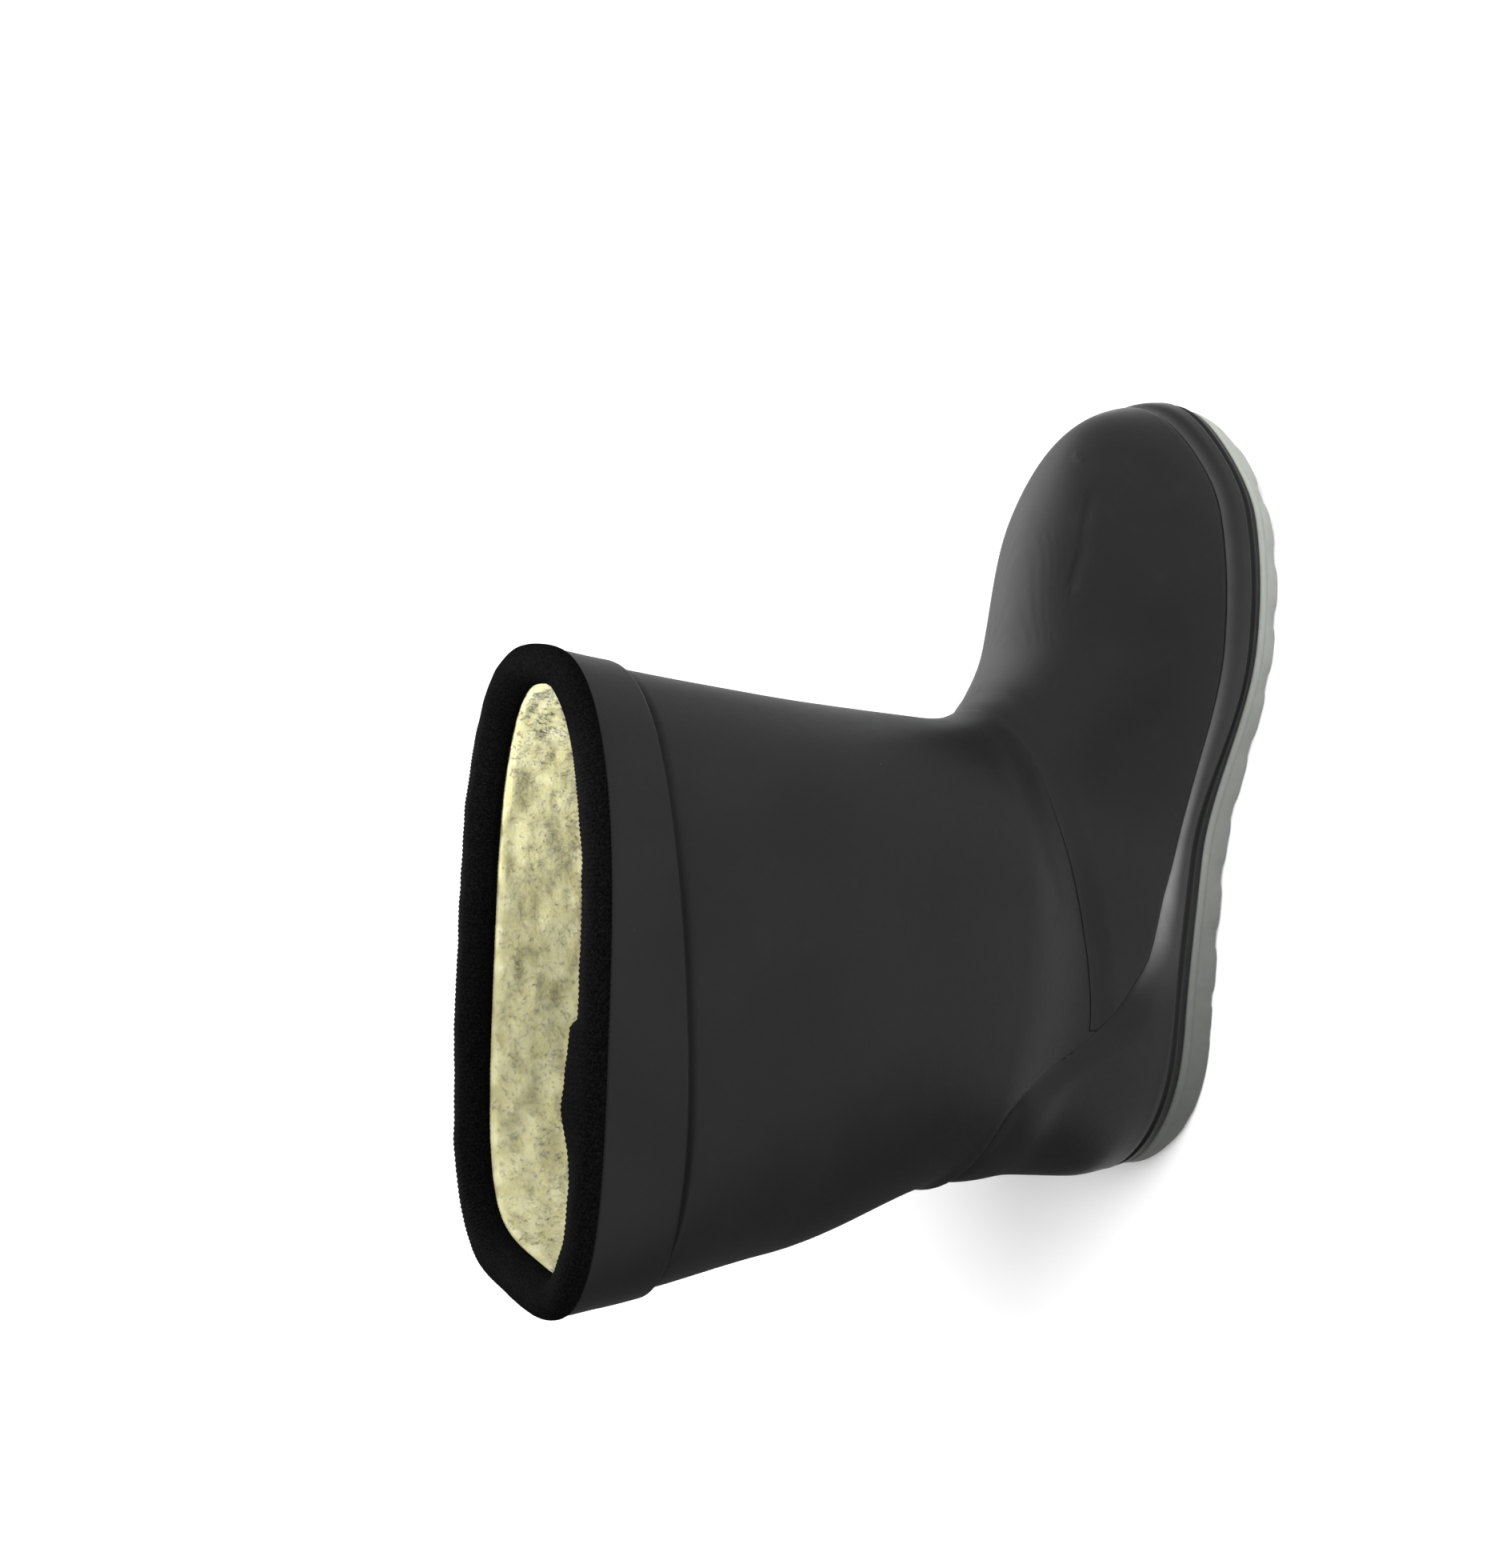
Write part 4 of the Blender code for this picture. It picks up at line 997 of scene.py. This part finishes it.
tape_outer = GAP + TAPE_THICK
tape_inner = -WALL - GAP
tape_hem = tape_inner - LINED_THICK
ProfilePoint = namedtuple("ProfilePoint", "proud drop")
TAPE_PROFILE = (
    ProfilePoint(GAP, TAPE_OUTSIDE),
    ProfilePoint(tape_outer * 0.7, TAPE_OUTSIDE),
    ProfilePoint(tape_outer, TAPE_OUTSIDE - 0.4),
    ProfilePoint(tape_outer + 0.1, TAPE_OUTSIDE - 0.9),
    ProfilePoint(tape_outer + 0.1, TAPE_OUTSIDE - 1.5),
    ProfilePoint(tape_outer, 0.0),
    ProfilePoint(tape_outer * 0.75, -0.8),
    ProfilePoint(GAP, -GAP - TAPE_THICK),
    ProfilePoint(-1.2, -GAP - RIM_CROWN),
    ProfilePoint((tape_inner + tape_hem) / 2 + 0.4, -GAP - RIM_CROWN),
    ProfilePoint(tape_hem + 0.9, -1.0),
    ProfilePoint(tape_hem + 0.2, 0.2),
    ProfilePoint(tape_hem, 1.4),
    ProfilePoint(tape_hem, 2.6),
    ProfilePoint(tape_hem + 0.1, TAPE_INSIDE - 0.7),
    ProfilePoint(tape_hem + 0.8, TAPE_INSIDE),
    ProfilePoint(tape_inner, TAPE_INSIDE),
    ProfilePoint(tape_inner, 2.0),
    ProfilePoint(tape_inner, -GAP),
    ProfilePoint(GAP, -GAP),
    ProfilePoint(GAP, TAPE_OUTSIDE / 2),
)
OUTER_POINTS = 9         # of the profile, up to the crown of the rim
SEEN_POINTS = 16         # and up to the hem inside

tape_count = RIB_COUNT * RIB_COLUMNS
tape_columns = Columns(even_angles(tape_count, RIM_HEIGHT), low=RIM_HEIGHT - COLLAR_REACH)
tape_turned = np.degrees(tape_columns.angles)
lap = ease(-tape_turned, LAP_START, LAP_STEP) * LAP_STEP_SHARE
lap = lap + ease(-tape_turned, LAP_STEP, LAP_FULL) * (1 - LAP_STEP_SHARE)
lap = (lap * (1 - ease(-tape_turned, LAP_FULL, LAP_END)))[:, None]
profile_proud, profile_drop = np.array(TAPE_PROFILE).T
outer_leg = np.arange(len(TAPE_PROFILE)) < OUTER_POINTS
visible = np.arange(len(TAPE_PROFILE)) < SEEN_POINTS
ribs = RIB_PROUD * np.cos(2 * math.pi * np.arange(tape_count) / RIB_COLUMNS)[:, None] * visible
facing = np.where(outer_leg, 1.0, -1.0)
tape_proud = profile_proud + ribs * facing - lap * LAP_THICK * (visible & ~outer_leg)
tape_drop = profile_drop - lap * LAP_RISE * (visible & ~outer_leg & (profile_drop < LAP_LOW))
tape_points = tape_columns.points(tape_columns.total[:, None] - np.maximum(tape_drop, 0), tape_proud)
over_rim = np.maximum(-tape_drop, 0)
sag = TAPE_UNEVEN * rough_cloud(tape_points[:, :1], TAPE_PATCH)
tape_points[..., 2] += over_rim * (1 + sag) + ribs * (over_rim > 0)

knit = Finish("knit_tape", {"Roughness": 0.95, "Specular IOR Level": 0.02})
loops = knit.cloud(size=0.35, detail=3)
knit.paint(
    color=knit.blend(knit.between(loops, low=0.35, high=0.75), TAPE_BLACK, TAPE_LIGHT),
    height=loops + knit.cloud(size=0.12, detail=2) * 0.5,
    depth=0.18,
)
binding = lay_piece("binding_tape", tape_points, knit, ring=True, tube=True)
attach(binding, "root")
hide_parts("binding")

# Lining
# Cream plush, a knitted ground with a thick woolly pile, glued to the inside of the shell from the tape down
# to the insole. Its pile is matted into soft clumps.
PILE_GROUND = 3.4        # pile's mean surface from the shell's inside
PILE_CLUMP = 0.75
CLUMP_SIZE = 6.0
LOCK_SIZE = 2.2
LOCK_SHARE = 0.5         # height of the single locks beside that of their clumps
LINING_TOP = 3.0         # below the rim, under the tape's inner leg
PILE_PRESSED = 1.7       # pile's surface where the tape presses it flat
PRESSED_END = 3.6        # below the rim
PILE_FREE = 5.0          # where the pile stands at its full height
LINING_LOW = 5.0
LINING_COLUMNS = 280
LINING_ROWS = 170
LINING_BACK_ROWS = 20
PLUSH_LIGHT = (0.46, 0.445, 0.285)
PLUSH_DARK = (0.37, 0.35, 0.198)


def clump_height(points):
    """Heights of about -1 to 1 that clumps and locks give the pile at these points."""
    return rough_cloud(points, CLUMP_SIZE, 3) + LOCK_SHARE * rough_cloud(points, LOCK_SIZE, 2)


def pile_reach(drop, clumps):
    """Distance of the pile's surface from the shell's inside, pressed flat beside the tape."""
    standing = ease(drop, PRESSED_END, PILE_FREE)
    return PILE_PRESSED + (PILE_GROUND - PILE_PRESSED + PILE_CLUMP * clumps) * standing


lining_columns = Columns(even_angles(LINING_COLUMNS, RIM_HEIGHT))
lining_top = (lining_columns.total - LINING_TOP)[:, None]
pile_rows = LINING_LOW + (lining_top - LINING_LOW) * np.linspace(1, 0, LINING_ROWS)
ground_rows = LINING_LOW + (lining_top - LINING_LOW) * np.linspace(0, 1, LINING_BACK_ROWS)
pile_mean = lining_columns.points(pile_rows, np.full(pile_rows.shape, -WALL - PILE_GROUND))
pile_drop = lining_columns.total[:, None] - pile_rows
lining_points = np.concatenate([
    lining_columns.points(pile_rows, -WALL - pile_reach(pile_drop, clump_height(pile_mean))),
    lining_columns.points(ground_rows, np.full(ground_rows.shape, -WALL - GAP)),
], axis=1)
plush = Finish("plush_pile", {
    "Roughness": 0.95,
    "Specular IOR Level": 0.0,
    "Subsurface Weight": 0.7,
    "Subsurface Scale": 0.0015,
    "Subsurface Radius": (1.0, 0.92, 0.65),
})
plush_mottle = plush.cloud(size=5.0, detail=2) * 0.75 + plush.cloud(size=1.1, detail=3) * 0.25
plush.paint(
    color=plush.blend(plush.between(plush_mottle, low=0.36, high=0.66), PLUSH_DARK, PLUSH_LIGHT),
    height=plush.cloud(size=0.7, detail=3),
    depth=0.15,
)
lining = lay_piece("lining_plush", lining_points, plush, ring=True, tube=True)
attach(lining, "root")

# Pile
# The woolly locks that stand out of the lining below the tape, each a thin spike that leans with its clump.
LOCK_COUNT = 48000
LOCK_TOP = 4.9           # below the rim, clear of the tape
LOCK_DEPTH = 75.0        # how far down the leg the single locks are made
LOCK_LENGTH = 1.2
LOCK_WIDTH = 0.5
LOCK_SUNK = 0.45         # root below the pile's surface
LOCK_LEAN = 2.2
LOCK_FALL = 0.4          # how much the locks hang downwards
LEAN_SIZE = 4.0
LEAN_SHIFTS = (0.0, 31.0, 67.0)  # apart in the noise, one for each axis of the lean
LEAN_STRAY = 0.35
LENGTH_SHARES = (0.7, 1.25)
ASIDE = (0.31, 0.52, 0.79)       # a direction that no lock takes
LOCK_SEED = 24

draw = np.random.default_rng(LOCK_SEED)
locks_each = LOCK_COUNT // LINING_COLUMNS
lock_drop = LOCK_TOP + LOCK_DEPTH * draw.random((LINING_COLUMNS, locks_each))
lock_lengths = lining_columns.total[:, None] - lock_drop
lock_skin = lining_columns.read(lock_lengths, lining_columns.skin)
beside = lining_columns.read(lock_lengths, np.roll(lining_columns.skin, -1, axis=0)) - lock_skin
lock_skin = (lock_skin + beside * draw.random((LINING_COLUMNS, locks_each, 1))).reshape(-1, 3)
lock_inward = -lining_columns.read(lock_lengths, lining_columns.normals).reshape(-1, 3)
lock_mean = lock_skin + lock_inward * (WALL + PILE_GROUND)
lock_total = len(lock_mean)
lock_reach = pile_reach(lock_drop.ravel(), clump_height(lock_mean))
lock_root = lock_skin + lock_inward * (WALL + lock_reach - LOCK_SUNK)[:, None]
lean = np.stack([rough_cloud(lock_mean + shift, LEAN_SIZE) for shift in LEAN_SHIFTS], axis=-1)
lean = lean + draw.normal(0, LEAN_STRAY, lean.shape) - (0.0, 0.0, LOCK_FALL)
lean = lean - lock_inward * np.sum(lean * lock_inward, axis=-1, keepdims=True)
lock_way = lock_inward + LOCK_LEAN * lean
lock_way = lock_way / np.linalg.norm(lock_way, axis=-1, keepdims=True)
lock_tip = lock_root + lock_way * (LOCK_LENGTH * draw.uniform(*LENGTH_SHARES, lock_total))[:, None]
first_side = np.cross(lock_way, ASIDE)
first_side = first_side / np.linalg.norm(first_side, axis=-1, keepdims=True)
second_side = np.cross(lock_way, first_side)
lock_corners = [lock_tip]
for turn in (0, 2 * math.pi / 3, 4 * math.pi / 3):
    outward = math.cos(turn) * first_side + math.sin(turn) * second_side
    lock_corners.append(lock_root + LOCK_WIDTH / 2 * outward)
lock_points = np.stack(lock_corners, axis=1).reshape(-1, 3)
corners_each = len(lock_corners)
lock_start = corners_each * np.arange(lock_total)[:, None, None]
lock_faces = (lock_start + np.array([[0, 1, 2], [0, 2, 3], [0, 3, 1], [3, 2, 1]])).reshape(-1, 3)
lock_mesh = bpy.data.meshes.new("lining_pile")
lock_mesh.from_pydata(((lock_points - (HEEL_SEAT, 0, 0)) * MM).tolist(), [], lock_faces.tolist())
lock_mesh.shade_smooth()
lock_mesh.normals_split_custom_set_from_vertices(np.repeat(lock_inward, corners_each, axis=0).tolist())
lock_mesh.materials.append(plush.material)
pile = bpy.data.objects.new("lining_pile", lock_mesh)
bpy.context.scene.collection.objects.link(pile)
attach(pile, "root")

# Floor and light
# A white sweep, a little overexposed, under a wide soft light that mirrors nowhere. Two panels behind the
# boot are there for the rubber's sheen alone, and a small lamp above the heel looks into the leg. Two flags
# on the sweep, which only the rubber mirrors, keep the heel's side dark and the far side dim.
FLOOR_SIZE = 40.0
FLOOR_WHITE = (0.93, 0.93, 0.93)
Flag = namedtuple("Flag", "name left right front back grey")
FLAGS = (
    Flag(name="heel_flag", left=-0.9, right=-0.035, front=-0.12, back=0.9, grey=0.10),
    Flag(name="far_flag", left=-0.035, right=0.9, front=0.045, back=0.9, grey=0.5),
)
FLAG_LIFT = 0.0005
SKY_WATTS = 4.8
SKY_SPREAD = math.radians(70)
SKY_LEAN = (math.radians(36), math.radians(24), 0.0)
Panel = namedtuple("Panel", "place width tall watts")
PANELS = (
    Panel(place=(0.3, 0.75, 0.75), width=1.5, tall=0.9, watts=14.0),
    Panel(place=(0.3, 1.0, 0.6), width=2.2, tall=1.5, watts=24.0),
)
PANEL_AIM = Vector((0.08, 0.0, 0.05))
LAMP_PLACE = (-0.12, -0.12, 0.45)
LAMP_AIM = Vector((0.07, 0.01, 0.14))
LAMP_SIZE = 0.05
LAMP_SPREAD = math.radians(18)
LAMP_WATTS = 0.042
WORLD_DARK = 0.15        # towards the heel
WORLD_WHITE = 0.8
WORLD_HEEL = -0.7        # forward parts of a direction between which the surroundings brighten
WORLD_TOE = 0.5
PAPER_ROUGHNESS = 0.9


def lay_sheet(name, left, right, front, back, lift, color):
    """Lay a flat matt sheet of paper on the ground."""
    mesh = bpy.data.meshes.new(name)
    corners = [(left, front, lift), (right, front, lift), (right, back, lift), (left, back, lift)]
    mesh.from_pydata(corners, [], [(0, 1, 2, 3)])
    paper = Finish(name + "_paper", {"Roughness": PAPER_ROUGHNESS, "Base Color": (*color, 1.0)})
    mesh.materials.append(paper.material)
    sheet = bpy.data.objects.new(name, mesh)
    bpy.context.scene.collection.objects.link(sheet)
    return sheet


corner = FLOOR_SIZE / 2
lay_sheet("floor", -corner, corner, -corner, corner, 0.0, FLOOR_WHITE)
for flag in FLAGS:
    sheet = lay_sheet(flag.name, flag.left, flag.right, flag.front, flag.back, FLAG_LIFT, [flag.grey] * 3)
    sheet.visible_camera = False
    sheet.visible_diffuse = False
    sheet.visible_shadow = False
sky_data = bpy.data.lights.new("overhead", "SUN")
sky_data.energy = SKY_WATTS
sky_data.angle = SKY_SPREAD
sky = bpy.data.objects.new("overhead", sky_data)
bpy.context.scene.collection.objects.link(sky)
sky.rotation_euler = SKY_LEAN
sky.visible_glossy = False


def hang_light(name, place, aim, size, watts):
    """Hang a flat light of this width and height, facing its aim."""
    light_data = bpy.data.lights.new(name, "AREA")
    light_data.shape = "RECTANGLE"
    light_data.size, light_data.size_y = size
    light_data.energy = watts
    light = bpy.data.objects.new(name, light_data)
    bpy.context.scene.collection.objects.link(light)
    light.location = place
    light.rotation_euler = (aim - Vector(place)).to_track_quat("-Z", "Y").to_euler()
    return light


for number, panel in enumerate(PANELS, 1):
    sheen = hang_light(f"panel_{number}", panel.place, PANEL_AIM, (panel.width, panel.tall), panel.watts)
    sheen.visible_diffuse = False
lamp = hang_light("lamp", LAMP_PLACE, LAMP_AIM, (LAMP_SIZE, LAMP_SIZE), LAMP_WATTS)
lamp.data.spread = LAMP_SPREAD
lamp.visible_glossy = False
world = bpy.data.worlds.new("studio")
world.use_nodes = True
sky_nodes = world.node_tree.nodes
sky_way = sky_nodes.new("ShaderNodeSeparateXYZ")
sky_shade = sky_nodes.new("ShaderNodeMapRange")
sky_shade.interpolation_type = "SMOOTHSTEP"
sky_shade.inputs["From Min"].default_value = WORLD_HEEL
sky_shade.inputs["From Max"].default_value = WORLD_TOE
sky_shade.inputs["To Min"].default_value = WORLD_DARK
sky_shade.inputs["To Max"].default_value = WORLD_WHITE
world.node_tree.links.new(sky_nodes.new("ShaderNodeTexCoord").outputs["Generated"], sky_way.inputs[0])
world.node_tree.links.new(sky_way.outputs["X"], sky_shade.inputs["Value"])
world.node_tree.links.new(sky_shade.outputs[0], sky_nodes["Background"].inputs["Strength"])
sky_nodes["Background"].inputs["Color"].default_value = (1.0, 1.0, 1.0, 1.0)
bpy.context.scene.world = world
bpy.context.scene.view_settings.view_transform = "Standard"
